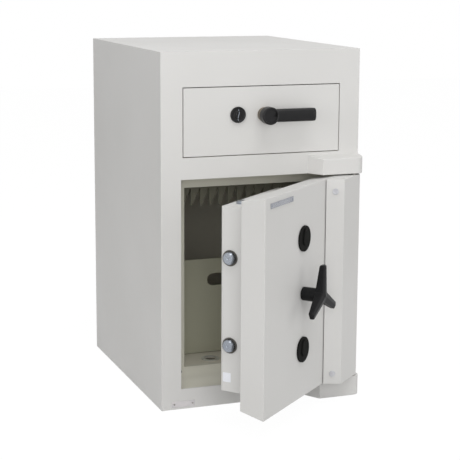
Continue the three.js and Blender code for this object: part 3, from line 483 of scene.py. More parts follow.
def rounded(bm, radius, segments=2, rear=math.inf):
    """Rounds the sharp outer edges, but for those behind the rear."""
    edges = [e for e in bm.edges
             if e.is_manifold and e.is_convex and e.calc_face_angle(0) > SHARP
             and min(v.co.y for v in e.verts) < rear]
    if edges:
        bmesh.ops.bevel(
            bm, geom=edges, offset=radius, offset_type="OFFSET", segments=segments,
            profile=0.5, affect="EDGES", clamp_overlap=True)
    return bm


def in_scene(name, data):
    piece = bpy.data.objects.new(name, data)
    bpy.context.scene.collection.objects.link(piece)
    return piece


def loose_object(name, bm, place=CABINET):
    """A bmesh as an object at the origin, with its place in its mesh."""
    bm.transform(place)
    mesh = bpy.data.meshes.new(name)
    bm.to_mesh(mesh)
    bm.free()
    return in_scene(name, mesh)


def bake(piece):
    """Turns the modifiers' result into the object's own plain mesh."""
    bpy.context.view_layer.update()
    baked = bpy.data.meshes.new_from_object(piece.evaluated_get(bpy.context.evaluated_depsgraph_get()))
    piece.modifiers.clear()
    old = piece.data
    piece.data = baked
    bpy.data.meshes.remove(old)
    return piece


def united(name, solids, cuts=()):
    """One closed solid from several that overlap, less the cuts."""
    whole, *others = [loose_object(f"{name}_{i}", bm) for i, bm in enumerate([*solids, *cuts])]
    for i, other in enumerate(others, 1):
        joint = whole.modifiers.new("Joint", "BOOLEAN")
        joint.operation = "UNION" if i < len(solids) else "DIFFERENCE"
        joint.solver = "EXACT"
        joint.object = other
    bake(whole)
    for other in others:
        bpy.data.objects.remove(other)
    bm = bmesh.new()
    bm.from_mesh(whole.data)
    bpy.data.objects.remove(whole)
    return bm


def dress(mesh, look):
    mesh.materials.clear()
    mesh.materials.append(finish_of(look))


def coat(nodes, look):
    """Gives CAD nodes that stay their finish."""
    for node in nodes.split():
        dress(NODES[node].data, look)


def finish(piece, body, look, slot=None, node=None, smooth=SMOOTH):
    """Shades a piece, gives it its finish and lets it ride on its body, in the place of a named node."""
    mesh = piece.data
    dress(mesh, look)
    for face in mesh.polygons:
        face.use_smooth = True
    mesh.set_sharp_from_angle(angle=math.radians(smooth))
    weighted = piece.modifiers.new("Weighted normals", "WEIGHTED_NORMAL")
    weighted.keep_sharp = True
    if node:
        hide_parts(node)
    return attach(piece, body)


def add_piece(name, bm, place, *finishing, **more):
    return finish(loose_object(name, bm, place), *finishing, **more)


def soften(nodes, radius, look, segments=2, slot=None, rear=math.inf):
    """Stands copies with rounded edges in for CAD nodes."""
    for node in nodes.split():
        bm = rounded(merged_copy(node), radius, segments, rear)
        add_piece(f"{node}_rounded", bm, CABINET, NODES[node]["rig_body"], look, slot, node)


class Tree(Nodes):
    """A geometry node group with named inputs and a material."""

    KINDS = {int: "Int", float: "Float", tuple: "Vector", type(None): "Material"}

    def __init__(self, name, **inputs):
        super().__init__(bpy.data.node_groups.new(name, "GeometryNodeTree"))
        face = self.tree.interface
        face.new_socket("Geometry", in_out="INPUT", socket_type="NodeSocketGeometry")
        for label, value in {**inputs, "Material": None}.items():
            kind = f"NodeSocket{self.KINDS[type(value)]}"
            socket = face.new_socket(label, in_out="INPUT", socket_type=kind)
            if value is not None:
                socket.default_value = value
        face.new_socket("Geometry", in_out="OUTPUT", socket_type="NodeSocketGeometry")
        self.given = self.add("NodeGroupInput").outputs

    def joined(self, *parts):
        join = self.add("GeometryNodeJoinGeometry")
        for part in parts:
            self.tree.links.new(part, join.inputs[0])
        return join.outputs[0]

    def closed(self, sheet, pulled, distance):
        """A solid from a sheet and what was pulled out of it, welded over a distance."""
        back = self.add("GeometryNodeFlipFaces", Mesh=sheet).outputs[0]
        whole = self.joined(back, pulled)
        return self.add("GeometryNodeMergeByDistance", Geometry=whole, Distance=distance).outputs[0]

    def close(self, geometry):
        """Realizes the instances, gives them the material and ends the tree."""
        real = self.add("GeometryNodeRealizeInstances", Geometry=geometry).outputs[0]
        dressed = self.add("GeometryNodeSetMaterial", Geometry=real, Material=self.given["Material"])
        self.add("NodeGroupOutput", i0=dressed.outputs[0])
        return self.tree


def grow_piece(name, bm, tree, values, place, body, look, *finishing, **more):
    """Runs a node group on a mesh and finishes the plain result."""
    piece = loose_object(name, bm)
    grow = piece.modifiers.new("Nodes", "NODES")
    grow.node_group = tree
    named = {s.name: s.identifier for s in tree.interface.items_tree if s.in_out == "INPUT"}
    for label, value in {**values, "Material": finish_of(look)}.items():
        grow[named[label]] = value
    bake(piece).data.transform(place)
    return finish(piece, body, look, *finishing, **more)


def comb_tree():
    """A plate with blunt saw teeth below, one flank steep and one slanting, in x and z and thick in y."""
    tree = Tree(
        "Comb plate", Teeth=16, Length=0.388, Band=0.043, Height=0.087, Tip=0.003, Lead=0.0005,
        Thickness=0.003)
    given, calc = tree.given, tree.math
    rows, corners = 2, 3.0  # the sheet's top and bottom rows, and the corners that outline a tooth
    columns = calc("MULTIPLY", given["Teeth"], corners)
    sheet = tree.add("GeometryNodeMeshGrid", Vertices_X=columns, Vertices_Y=rows, Size_X=1.0, Size_Y=1.0)
    index = tree.add("GeometryNodeInputIndex").outputs[0]
    column = calc("FLOOR", calc("DIVIDE", index, rows))
    upper = calc("MODULO", index, rows)
    tooth = calc("FLOOR", calc("DIVIDE", column, corners))
    step = calc("SUBTRACT", column, calc("MULTIPLY", tooth, corners))
    pitch = calc("DIVIDE", given["Length"], given["Teeth"])
    past_tip = calc("MAXIMUM", calc("SUBTRACT", step, 1.0), 0.0)
    on_tip = calc("SUBTRACT", 1.0, past_tip)
    near_tip = calc("ADD", given["Lead"], calc("MULTIPLY", calc("MINIMUM", step, 1.0), given["Tip"]))
    flanks = calc("ADD", calc("MULTIPLY", on_tip, near_tip), calc("MULTIPLY", past_tip, pitch))
    x = calc("ADD", calc("MULTIPLY", tooth, pitch), flanks)
    saw = calc("MULTIPLY", on_tip, calc("SUBTRACT", given["Height"], given["Band"]))
    low = calc("MULTIPLY", calc("ADD", saw, given["Band"]), calc("SUBTRACT", 1.0, upper))
    spot = tree.add("ShaderNodeCombineXYZ", X=x, Y=0.0, Z=calc("MULTIPLY", low, -1.0)).outputs[0]
    cut = tree.add("GeometryNodeSetPosition", Geometry=sheet.outputs["Mesh"], Position=spot).outputs[0]
    rearward = tree.add("ShaderNodeCombineXYZ", X=0.0, Y=1.0, Z=0.0).outputs[0]
    thick = tree.add(
        "GeometryNodeExtrudeMesh", Mesh=cut, Offset=rearward, Offset_Scale=given["Thickness"],
        Individual=False)
    return tree.close(tree.closed(cut, thick.outputs["Mesh"], SAME_POINT))


# Steps of a head's shoulder, as shares of its height and of the width below, and of its socket.
SHOULDER = ((0.5, 1.0), (0.3, 0.93), (0.2, 0.8))
SOCKET_EDGE, SOCKET_TAPER, SOCKET_WELD = 0.0001, 0.96, 0.000001


def heads_tree():
    """A head with a rounded shoulder and a socket on every point of the mesh, along local z."""
    tree = Tree(
        "Fastener heads", Radius=0.005, Height=0.002, Socket=0.45, Depth=0.001, Sides=24, Turn=(0, 0, 0))
    given, calc = tree.given, tree.math
    disc = tree.add(
        "GeometryNodeMeshCircle", {"fill_type": "NGON"}, Vertices=given["Sides"],
        Radius=given["Radius"]).outputs[0]
    steps = [(calc("MULTIPLY", given["Height"], rise), scale) for rise, scale in SHOULDER]
    steps.append((calc("MULTIPLY", given["Height"], SOCKET_EDGE), given["Socket"]))
    steps.append((calc("MULTIPLY", given["Depth"], -1.0), SOCKET_TAPER))
    shape, top = disc, {}
    for lift, scale in steps:
        raised = tree.add("GeometryNodeExtrudeMesh", Mesh=shape, Offset_Scale=lift, Individual=False, **top)
        top = {"Selection": raised.outputs["Top"]}
        shape = tree.add(
            "GeometryNodeScaleElements", Geometry=raised.outputs["Mesh"], Scale=scale, **top).outputs[0]
    head = tree.closed(disc, shape, SOCKET_WELD)
    turn = tree.add("FunctionNodeEulerToRotation", Euler=given["Turn"]).outputs[0]
    spread = tree.add(
        "GeometryNodeInstanceOnPoints", Points=given["Geometry"], Instance=head, Rotation=turn)
    return tree.close(spread.outputs[0])


def knurl_tree():
    """Ribs round the mesh that is given, along local z, turned outwards."""
    tree = Tree("Knurled ribs", Ribs=84, Radius=0.02, Rib=0.0005, Height=0.01, Start=0.001)
    given, calc = tree.given, tree.math
    square, spread_of_rib = 4, 1.3
    rib = tree.add(
        "GeometryNodeMeshCylinder", {"fill_type": "NGON"}, Vertices=square, Side_Segments=1,
        Radius=calc("MULTIPLY", given["Rib"], spread_of_rib), Depth=given["Height"]).outputs[0]
    ring = tree.add(
        "GeometryNodeMeshCircle", {"fill_type": "NONE"}, Vertices=given["Ribs"],
        Radius=given["Radius"]).outputs[0]
    place = tree.add("GeometryNodeInputPosition").outputs[0]
    facing = tree.add(
        "FunctionNodeAlignRotationToVector", {"axis": "X", "pivot_axis": "Z"}, Vector=place).outputs[0]
    spread = tree.add("GeometryNodeInstanceOnPoints", Points=ring, Instance=rib, Rotation=facing).outputs[0]
    middle_z = calc("MULTIPLY_ADD", given["Height"], 0.5, given["Start"])
    lift = tree.add("ShaderNodeCombineXYZ", X=0.0, Y=0.0, Z=middle_z).outputs[0]
    raised = tree.add("GeometryNodeTransform", Geometry=spread, Translation=lift).outputs[0]
    return tree.close(tree.joined(raised, given["Geometry"]))


class SAFE_OT_shell(bpy.types.Operator):
    """Build the painted casing, the back plate, the door frame and the hinge housings"""

    bl_idname = "safe.shell"
    bl_label = "Casing"

    def execute(self, context):
        safe = context.scene.drop_safe
        edges = safe.edges
        soften("outer_casing", edges.casing, "light_grey_paint", segments=3)
        soften("back_plate", edges.plate, "light_grey_paint")
        # The frame's darker grey is painted shade of the door's recess.
        soften("door_frame", edges.plate, "frame_paint", slot="light_grey_paint")
        soften("lower_hinge_housing upper_hinge_housing", edges.casing, "light_grey_paint",
               segments=3, rear=CAD_FRONT - edges.casing)
        soften("rating_plate", edges.thin, "plate_steel", slot="bright_steel")
        soften("lower_hinge_pin upper_hinge_pin", edges.plate, "plain_steel")
        coat("thrust_washer", "bearing_bronze")
        coat("barrier_fill", "barrier_concrete")
        self.add_stop(safe.fasteners.stop)
        return {"FINISHED"}

    def add_stop(self, radius):
        """The rubber stop, a low dome in the gap beside the shut door."""
        foot, wall, brow, crown, narrow = 0.0001, 0.0014, 0.0023, 0.0024, 0.8
        beside, behind, above = 0.0022, 0.0046, 0.090
        dome = turned(
            [(0, foot), (radius, foot), (radius, wall), (radius * narrow, brow), (0, crown)], sides=32)
        side, front = shut_box("door_skin")[0].x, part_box("door_frame")[0].y
        place = Matrix.Translation((side - beside, front + behind, above))
        place @= Matrix.Rotation(math.pi / 2, 4, "Y")
        add_piece("jamb_stop", dome, place, "cabinet", "black_plastic")


class SAFE_OT_chamber(bpy.types.Operator):
    """Build the deposit chamber with its combs, retaining panel and drop chute"""

    bl_idname = "safe.chamber"
    bl_label = "Deposit chamber"

    def execute(self, context):
        safe = context.scene.drop_safe
        coat("chamber_liner bay_liner drop_chute", "chamber_paint")
        soften("retaining_panel panel_channel_left panel_channel_right", safe.edges.thin, "grey_inner_paint")
        soften("floor_strike_ring", safe.edges.thin, "ring_steel", segments=3, slot="plain_steel")
        tree = comb_tree()
        for node in ("front_comb", "rear_comb"):
            low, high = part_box(node)
            sizes = {
                "Teeth": safe.comb.teeth, "Length": high.x - low.x, "Band": safe.comb.band,
                "Height": high.z - low.z, "Tip": safe.comb.tip, "Lead": safe.comb.lead,
                "Thickness": high.y - low.y}
            place = Matrix.Translation((low.x, low.y, high.z))
            # The combs take a darker grey: painted shade of the chamber.
            grow_piece(f"{node}_plate", points_mesh([(0, 0, 0)]), tree, sizes, place, "cabinet",
                       "comb_paint", "grey_inner_paint", node)
        return {"FINISHED"}


class SAFE_OT_door(bpy.types.Operator):
    """Build the door slab, its bolt box, hinge cover, caps, nameplate and label"""

    bl_idname = "safe.door"
    bl_label = "Door"

    CAP_EDGE = 1.3  # a cap's edge radius over that of the mouldings
    HEAD_SMOOTH, RIVET_SIDES = 50, 16

    def execute(self, context):
        safe = context.scene.drop_safe
        edges = safe.edges
        soften("door_skin", edges.casing, "light_grey_paint", segments=3)
        soften("door_back_plate bolt_box bolt_box_cover", edges.plate, "light_grey_paint")
        self.add_cover(safe)
        soften("hinge_side_dog_bar hinge_arm_lower hinge_arm_upper", edges.plate, "plain_steel")
        soften("screw_cap_lower screw_cap_upper", edges.moulding * self.CAP_EDGE, "cap_plastic", segments=4)
        soften("door_nameplate", edges.thin, "nameplate_steel", slot="bright_steel")
        coat("door_fill", "barrier_concrete")
        tree = heads_tree()
        self.add_screws(safe.fasteners, tree)
        self.add_rivets(safe.fasteners, tree)
        self.add_label(safe.fasteners)
        return {"FINISHED"}

    def add_cover(self, safe):
        """The hinge cover, whose free edge stands off the door and leaves a dark seam."""
        bm = merged_copy("hinge_cover")
        bm.transform(DOOR.inverted())
        left, front, top = (pick(v.co[i] for v in bm.verts) for i, pick in enumerate((min, min, max)))
        back = max(v.co.y for v in bm.verts if v.co.x < left + SAME_PLANE)
        corner = min(v.co.x for v in bm.verts if v.co.y < front + SAME_PLANE)
        lean = (corner - left) / (back - front)
        for v in bm.verts:
            if v.co.x < corner and v.co.y > back - SAME_PLANE:
                v.co += Vector((lean, -1, 0)) * safe.fasteners.seam
            if v.co.z > top - SAME_PLANE:
                v.co.z += safe.fasteners.rise
        bm.transform(DOOR)
        add_piece("hinge_cover_rounded", rounded(bm, safe.edges.casing, segments=3), CABINET, "door",
                  "light_grey_paint", node="hinge_cover")

    def add_screws(self, sizes, tree):
        """Screws round the bolt box cover, three across the ends and four down the sides."""
        socket, depth, down = 0.5, 0.6, 3
        low, high = shut_box("bolt_box_cover")
        xs = (low.x + sizes.inset, (low.x + high.x) / 2, high.x - sizes.inset)
        drop = high.z - low.z - 2 * sizes.inset
        zs = [low.z + sizes.inset + drop * i / down for i in range(down + 1)]
        spots = [(x, high.y, z) for x in xs for z in zs if x != xs[1] or z in (zs[0], zs[-1])]
        head = {
            "Radius": sizes.screw, "Height": sizes.screw_height, "Socket": socket,
            "Depth": sizes.screw_height * depth, "Turn": (-math.pi / 2, 0, 0)}
        grow_piece("bolt_box_screws", points_mesh(spots), tree, head, DOOR, "door", "plain_steel",
                   smooth=self.HEAD_SMOOTH)

    def add_rivets(self, sizes, tree):
        """Two rivets in each small plate."""
        plates = (  # inset by a share of the plate's height; size, socket and its depth as shares
            ("nameplate", shut_box("door_nameplate"), 0.4, 1.0, 0.3, 0.2, DOOR, "door", "bright_steel"),
            ("rating_plate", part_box("rating_plate"), 0.45, 1.3, 0.4, 0.5, CABINET, "cabinet", "plain_steel"),
        )
        for name, (low, high), inset, size, socket, depth, place, body, look in plates:
            z, edge = (low.z + high.z) / 2, (high.z - low.z) * inset
            spots = [(low.x + edge, low.y, z), (high.x - edge, low.y, z)]
            head = {
                "Radius": sizes.rivet * size, "Height": sizes.rivet_height, "Socket": socket,
                "Depth": sizes.rivet_height * depth, "Sides": self.RIVET_SIDES, "Turn": (math.pi / 2, 0, 0)}
            grow_piece(f"{name}_rivets", points_mesh(spots), tree, head, place, body, look,
                       "bright_steel", smooth=self.HEAD_SMOOTH)

    def add_label(self, sizes):
        """A small bare label on the free edge of the bolt box."""
        thick, proud, corner, steps = 0.0001, 0.00015, 0.0012, 4
        before_cover, foot = 0.0045, 0.108
        x = shut_box("bolt_box")[0].x - proud
        y1 = shut_box("bolt_box_cover")[1].y - before_cover
        y0, z0, z1 = y1 - sizes.label_width, foot, foot + sizes.label_height
        outline = []
        for quarter, (cy, cz) in enumerate((
                (y1 - corner, z1 - corner), (y0 + corner, z1 - corner),
                (y0 + corner, z0 + corner), (y1 - corner, z0 + corner))):
            for i in range(steps + 1):
                a = math.pi / 2 * (quarter + i / steps)
                outline.append((cy + corner * math.cos(a), cz + corner * math.sin(a)))
        rings = [[(x + t, y, z) for y, z in outline] for t in (0, thick)]
        add_piece("bare_label", lofted(rings), DOOR, "door", "label_paper", "cap_plastic")


class SAFE_OT_keyholes(bpy.types.Operator):
    """Build the black keyhole discs, their covers and the lock cases"""

    bl_idname = "safe.keyholes"
    bl_label = "Keyholes"

    COVER_EDGE = 2.2  # a cover's edge radius over that of the discs

    def execute(self, context):
        edges = context.scene.drop_safe.edges
        for which in ("upper", "lower"):
            soften(f"keyhole_rosette_{which}", edges.moulding, "disc_plastic", segments=3,
                   slot="black_plastic")
            soften(f"keyhole_cover_{which}", edges.moulding * self.COVER_EDGE, "disc_plastic",
                   segments=6, slot="black_plastic")
            soften(f"lock_case_{which}", edges.plate, "plain_steel")
        return {"FINISHED"}


class SAFE_OT_star_handle(bpy.types.Operator):
    """Build the three-armed handle and its spindle"""

    bl_idname = "safe.star_handle"
    bl_label = "Star handle"

    ANGLES = (90, 210, 330)
    CUT_PLACE, CUT = 0.4, 0.45  # a ring between the facet's start and end, and how far it is cut there
    NARROW, SINK, LIFT = 0.4, 0.6, 0.3  # how far an arm's end is cut, in shares of the facet
    RIDGE_FALL = 0.3  # share of the ridge that is lost along an arm
    SOFT = 0.0011  # chamfer along an arm
    BOSS_SLOPE, BOSS_EDGE, BOSS_DOME = 0.003, 0.0015, 0.0006
    NECK_FOOT = ((0.0022, -0.0003), (0.0007, -0.001), (0, -0.0026))

    def arm(self, star, angle):
        """One arm that narrows and thins towards its blunt end, with a ridge along its front."""
        soft, rings = self.SOFT, []
        ends = ((star.arm, 0), (star.facet, 0), (star.facet * self.CUT_PLACE, self.CUT), (0, 1))
        for before, cut in ends:
            along = star.arm - before
            share, facet = along / star.arm, cut * star.facet
            half = (star.root + (star.tip - star.root) * share) / 2 - facet * self.NARROW
            side = star.front - facet * self.SINK
            ridge = side + star.ridge * (1 - self.RIDGE_FALL * share)
            deep = star.middle_depth + (star.tip_depth - star.middle_depth) * share
            back = star.front - deep + facet * self.LIFT
            section = [
                (-half + soft, back), (half - soft, back), (half, back + soft), (half, side - soft),
                (half - soft, side), (0, ridge), (-half + soft, side), (-half, side - soft),
                (-half, back + soft),
            ]
            rings.append([(along, v, w) for v, w in section])
        bm = lofted(rings)
        bm.transform(Matrix.Rotation(math.radians(angle), 4, "Z"))
        return bm

    def execute(self, context):
        safe = context.scene.drop_safe
        star = safe.star
        high = shut_box("star_handle")[1]
        rosette = middle(*shut_box("keyhole_rosette_upper"))
        place = DOOR @ outward(rosette.x, high.y, high.z - star.arm)
        behind, top = star.front - star.middle_depth, star.front + star.ridge
        slope, edge = self.BOSS_SLOPE, self.BOSS_EDGE
        boss = turned([
            (0, behind - slope), (star.hub - slope, behind - slope), (star.hub, behind),
            (star.hub, star.front - edge), (star.hub - edge, star.front), (0, top + self.BOSS_DOME)])
        foot = eased(star.hub, 0, self.NECK_FOOT)
        neck = turned([(0, foot[0][1]), *foot, (star.hub, behind + slope), (0, behind + slope)])
        solid = united("star", [boss, neck] + [self.arm(star, angle) for angle in self.ANGLES])
        handle = loose_object("star_handle_moulding", solid)
        blend = handle.modifiers.new("Blend", "REMESH")
        blend.mode = "VOXEL"
        blend.voxel_size = star.voxel
        blend.use_smooth_shade = True
        ease = handle.modifiers.new("Ease", "SMOOTH")
        ease.factor = 0.5
        ease.iterations = 2
        bake(handle).data.transform(place)
        finish(handle, "handle", "handle_plastic", "black_plastic", "star_handle", smooth=180)
        soften("handle_spindle", safe.edges.thin, "plain_steel")
        return {"FINISHED"}


class SAFE_OT_bolts(bpy.types.Operator):
    """Build the side, top and bottom bolts, their bushes and the carriage"""

    bl_idname = "safe.bolts"
    bl_label = "Boltwork"

    REAR_EDGE = 0.0004
    # Off the sharp corner of a side bolt's tip: the line turned round it, then its chamfer.
    TIP = ((0, 0.0062), (0.0003, 0.0058), (0.0003, 0.0052), (0, 0.0048),
           (0, 0.0028), (0.0002, 0.0026), (0.0026, 0.0002), (0.0029, 0))
    # Off the middle of the tip: the centre drilling.
    DRILLING = ((-0.0028, 0), (-0.0022, 0.0003), (-0.0006, 0.0016), (0, 0.0016))

    def execute(self, context):
        edges = context.scene.drop_safe.edges
        for which in ("upper", "lower"):
            low, high = shut_box(f"side_bolt_{which}")
            radius, reach, centre = (high.z - low.z) / 2, high.x - low.x, middle(low, high)
            profile = [
                (0, 0), (radius - self.REAR_EDGE, 0), (radius, self.REAR_EDGE),
                *eased(radius, reach, self.TIP), *eased(0, reach, self.DRILLING)]
            place = DOOR @ sideways(high.x, centre.y, centre.z)
            add_piece(f"side_bolt_{which}_turned", turned(profile), place, "side_boltwork", "bright_steel",
                      node=f"side_bolt_{which}", smooth=20)
            # The bush's dark steel is painted shade of the clearance round the bolt.
            soften(f"side_bolt_bush_{which}", edges.thin, "oiled_steel", segments=3,
                   slot="plain_steel")
        soften("top_bolt bottom_bolt", edges.thin, "bright_steel")
        soften("bolt_carriage", edges.plate, "plain_steel")
        return {"FINISHED"}


class SAFE_OT_drawer(bpy.types.Operator):
    """Build the drawer front, its tray, drop flap, rails and runners"""

    bl_idname = "safe.drawer"
    bl_label = "Drawer"

    def execute(self, context):
        edges = context.scene.drop_safe.edges
        soften("drawer_front", edges.casing, "light_grey_paint", segments=3)
        soften("drawer_tray drop_flap", edges.thin, "grey_inner_paint")
        soften("drawer_rail_left drawer_rail_right drawer_runner_left drawer_runner_right", edges.thin,
               "plain_steel")
        soften("drawer_strike latch_cam", edges.plate, "plain_steel")
        return {"FINISHED"}


class SAFE_OT_drawer_lever(bpy.types.Operator):
    """Build the drawer's lever and its knurled collar"""

    bl_idname = "safe.drawer_lever"
    bl_label = "Drawer lever"

    # Rings of the bar as (along, inset): from its start, and from the line turned round it.
    BAR_ROOT = ((0, 0.0006), (0.006, 0.0002), (0.02, 0))
    BAR_LINE = ((-0.0007, 0), (-0.0003, 0.0005), (0.0003, 0.0005), (0.0007, 0.0002))
    BAR_SIDES, BAR_END_STEPS, BAR_END_INSET = 48, 6, 0.0004
    FLAT_SIDES, FLAT_FRONT = 0.72, 0.82  # powers under 1 square up the bar's round section
    HUB_REAR, HUB_GAP = 0.001, 0.0003
    HUB_RIM = ((0, 0.0022), (0.0006, 0.0008), (0.0018, 0))
    HUB_INNER = ((-0.0012, 0), (0, 0.0008))
    DISH_SLOPE, DISH_FALL = 0.0006, 0.0003
    NOTCH_START, NOTCH_WALL, NOTCH_DEPTH, NOTCH_UP = 0.36, 0.0004, 0.004, 0.002
    BAR_START = 0.78  # share of the hub's radius
    # The collar: its edges at foot and front, the end of a lip, the start of the band, the bore's gap.
    COLLAR_FOOT, COLLAR_FRONT, LIP, BAND, BORE_GAP = 0.0004, 0.0005, 0.0014, 0.0018, 0.0004

    def bar(self, sizes, start, end, front):
        """The bar's flattened round section from the hub to its blunt end."""
        def ring(along, inset):
            half, deep = sizes.bar_height / 2 - inset, sizes.bar_depth / 2 - inset
            points = []
            for i in range(self.BAR_SIDES):
                a = 2 * math.pi * i / self.BAR_SIDES
                c, s = math.cos(a), math.sin(a)
                y = math.copysign(abs(c) ** self.FLAT_SIDES, c) * half
                z = math.copysign(abs(s) ** self.FLAT_FRONT, s) * deep
                points.append((along, y, front - sizes.bar_depth / 2 + z))
            return points
        line, round_end = end - sizes.groove, sizes.end_round
        rings = [ring(start + along, inset) for along, inset in self.BAR_ROOT]
        rings += [ring(line + along, inset) for along, inset in self.BAR_LINE]
        for i in range(self.BAR_END_STEPS + 1):
            a = math.pi / 2 * i / self.BAR_END_STEPS
            inset = self.BAR_END_INSET + round_end * (1 - math.cos(a))
            rings.append(ring(end - round_end * (1 - math.sin(a)), inset))
        return lofted(rings)

    def execute(self, context):
        sizes = context.scene.drop_safe.lever
        low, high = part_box("drawer_lever")
        collar_low, collar_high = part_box("lever_collar")
        centre, face = middle(collar_low, collar_high), collar_high.y
        place = outward(centre.x, face, centre.z)
        self.add_lever(sizes, low, high, high.x - centre.x, face, face - collar_low.y + self.HUB_GAP, place)
        outer, height = (collar_high.x - collar_low.x) / 2, collar_high.y - collar_low.y
        self.add_collar(sizes, outer, height, place)
        return {"FINISHED"}

    def add_lever(self, sizes, low, high, reach, face, back, place):
        """The hub with its dished face and notch, and the bar."""
        radius, front, shaft = (high.z - low.z) / 2, face - low.y, sizes.shaft
        inner, dish = radius - sizes.rim, front - sizes.dish
        hub = turned([
            (0, face - high.y), (shaft, face - high.y), (shaft, back), (radius - self.HUB_REAR, back),
            (radius, back + self.HUB_REAR), *eased(radius, front, self.HUB_RIM),
            *eased(inner, front, self.HUB_INNER), (inner - self.DISH_SLOPE, dish),
            (0, dish - self.DISH_FALL)])
        half, left, right = sizes.notch / 2, radius * self.NOTCH_START, inner - self.NOTCH_WALL
        up = self.NOTCH_UP
        notch = lofted([
            [(left, up - half, w), (right, up - half, w), (right, up + half, w), (left, up + half, w)]
            for w in (dish - self.NOTCH_DEPTH, front)])
        solid = united("lever", [hub, self.bar(sizes, radius * self.BAR_START, reach, front)], [notch])
        add_piece("drawer_lever_moulding", solid, place, "drawer_lever", "black_plastic",
                  node="drawer_lever", smooth=40)

    def add_collar(self, sizes, outer, height, place):
        """The collar between two plain lips, with ribs round the band between them."""
        bore, floor = sizes.shaft + self.BORE_GAP, outer - sizes.rib
        foot, top = self.COLLAR_FOOT, self.COLLAR_FRONT
        ring = turned([
            (bore, 0), (outer - foot, 0), (outer, foot), (outer, self.LIP), (floor, self.BAND),
            (floor, height - self.BAND), (outer, height - self.LIP), (outer, height - top),
            (outer - top, height), (bore, height)], sides=sizes.ribs)
        ribs = {"Ribs": sizes.ribs, "Radius": floor, "Rib": sizes.rib, "Height": height - 2 * self.BAND,
                "Start": self.BAND}
        grow_piece("lever_collar_knurled", ring, knurl_tree(), ribs, place, "drawer", "knurled_steel",
                   "plain_steel", "lever_collar", smooth=30)


class SAFE_OT_drawer_lock(bpy.types.Operator):
    """Build the drawer's lock with its flange, plug and keyway"""

    bl_idname = "safe.drawer_lock"
    bl_label = "Drawer lock"

    BORE, BARREL = 0.0078, 0.012
    FLANGE_FOOT = ((0.0003, 0), (0, -0.0003))
    FLANGE_RIM = ((0, 0.0018), (0.0007, 0.0005), (0.0018, 0), (0.0030, 0.0002), (0.0042, 0.0012))
    FLANGE_MOUTH = ((-0.0022, 0.0014), (-0.0012, 0.0004), (0, 0.0004))
    SHUTTER = ((0.0004, 0), (0.0004, -0.0003), (0.0010, -0.0006))  # off the bore at the flange's front
    KEY_HOLE, KEY_HOLE_HEIGHT, KEY_HOLE_SPOT = 0.0022, 0.0003, (-0.0036, 0.0008)
    WAVE_HALF, WAVE_SWAY, WAVE_THICK, WAVE_STEPS = 0.0008, 0.0014, 0.0010, 24
    # The keyway's strips: their gaps from the bore, and how deep they start on plug and flange.
    PLUG_GAP, FLANGE_GAP, ON_PLUG, IN_FLANGE = 0.0006, 0.0003, 0.0005, 0.0016

    def execute(self, context):
        safe = context.scene.drop_safe
        low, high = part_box("drawer_lock_barrel")
        face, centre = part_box("drawer_front")[0].y, middle(low, high)
        radius, front, back = (high.x - low.x) / 2, face - low.y, face - high.y
        place, bore = outward(centre.x, face, centre.z), self.BORE
        flange = turned([
            (bore, back), (self.BARREL, back), (self.BARREL, 0), *eased(radius, 0, self.FLANGE_FOOT),
            *eased(radius, front, self.FLANGE_RIM), *eased(bore, front, self.FLANGE_MOUTH)])
        add_piece("drawer_lock_flange", flange, place, "drawer", "black_plastic", node="drawer_lock_barrel")
        soften("drawer_lock_plug", safe.edges.thin, "bright_steel")
        shutter = eased(bore, front, self.SHUTTER)
        shutter = turned([(0, front), *shutter, (0, shutter[-1][1])])
        add_piece("drawer_lock_shutter", shutter, place, "drawer_lock", "black_plastic")
        plug, past, reach = bore - self.PLUG_GAP, bore + self.FLANGE_GAP, safe.lever.keyway / 2
        strips = (
            ("", -plug, plug, front + self.ON_PLUG, "drawer_lock"),
            ("_above", past, reach, front - self.IN_FLANGE, "drawer"),
            ("_below", -reach, -past, front - self.IN_FLANGE, "drawer"),
        )
        for name, foot, head, start, body in strips:
            strip = self.wave(foot, head, 2 * reach, start)
            add_piece(f"drawer_lock_keyway{name}", strip, place, body, "bright_steel")
        # A thin black disc on the plug stands in for the key hole: painted shade, no hole is cut.
        hole, thick = self.KEY_HOLE, self.KEY_HOLE_HEIGHT
        hole = turned([(0, 0), (hole, 0), (hole, thick), (0, thick)], sides=24)
        spot = Matrix.Translation((*self.KEY_HOLE_SPOT, front + self.ON_PLUG))
        add_piece("drawer_lock_key_hole", hole, place @ spot, "drawer_lock", "black_plastic")
        return {"FINISHED"}

    def wave(self, low, high, period, start):
        """A wavy upright strip between two heights."""
        heights = [low + (high - low) * i / self.WAVE_STEPS for i in range(self.WAVE_STEPS + 1)]
        bends = [(self.WAVE_SWAY * math.sin(2 * math.pi * h / period), h) for h in heights]
        outline = [(b + self.WAVE_HALF, h) for b, h in bends]
        outline += [(b - self.WAVE_HALF, h) for b, h in reversed(bends)]
        return lofted([[(u, v, start + t) for u, v in outline] for t in (0, self.WAVE_THICK)])


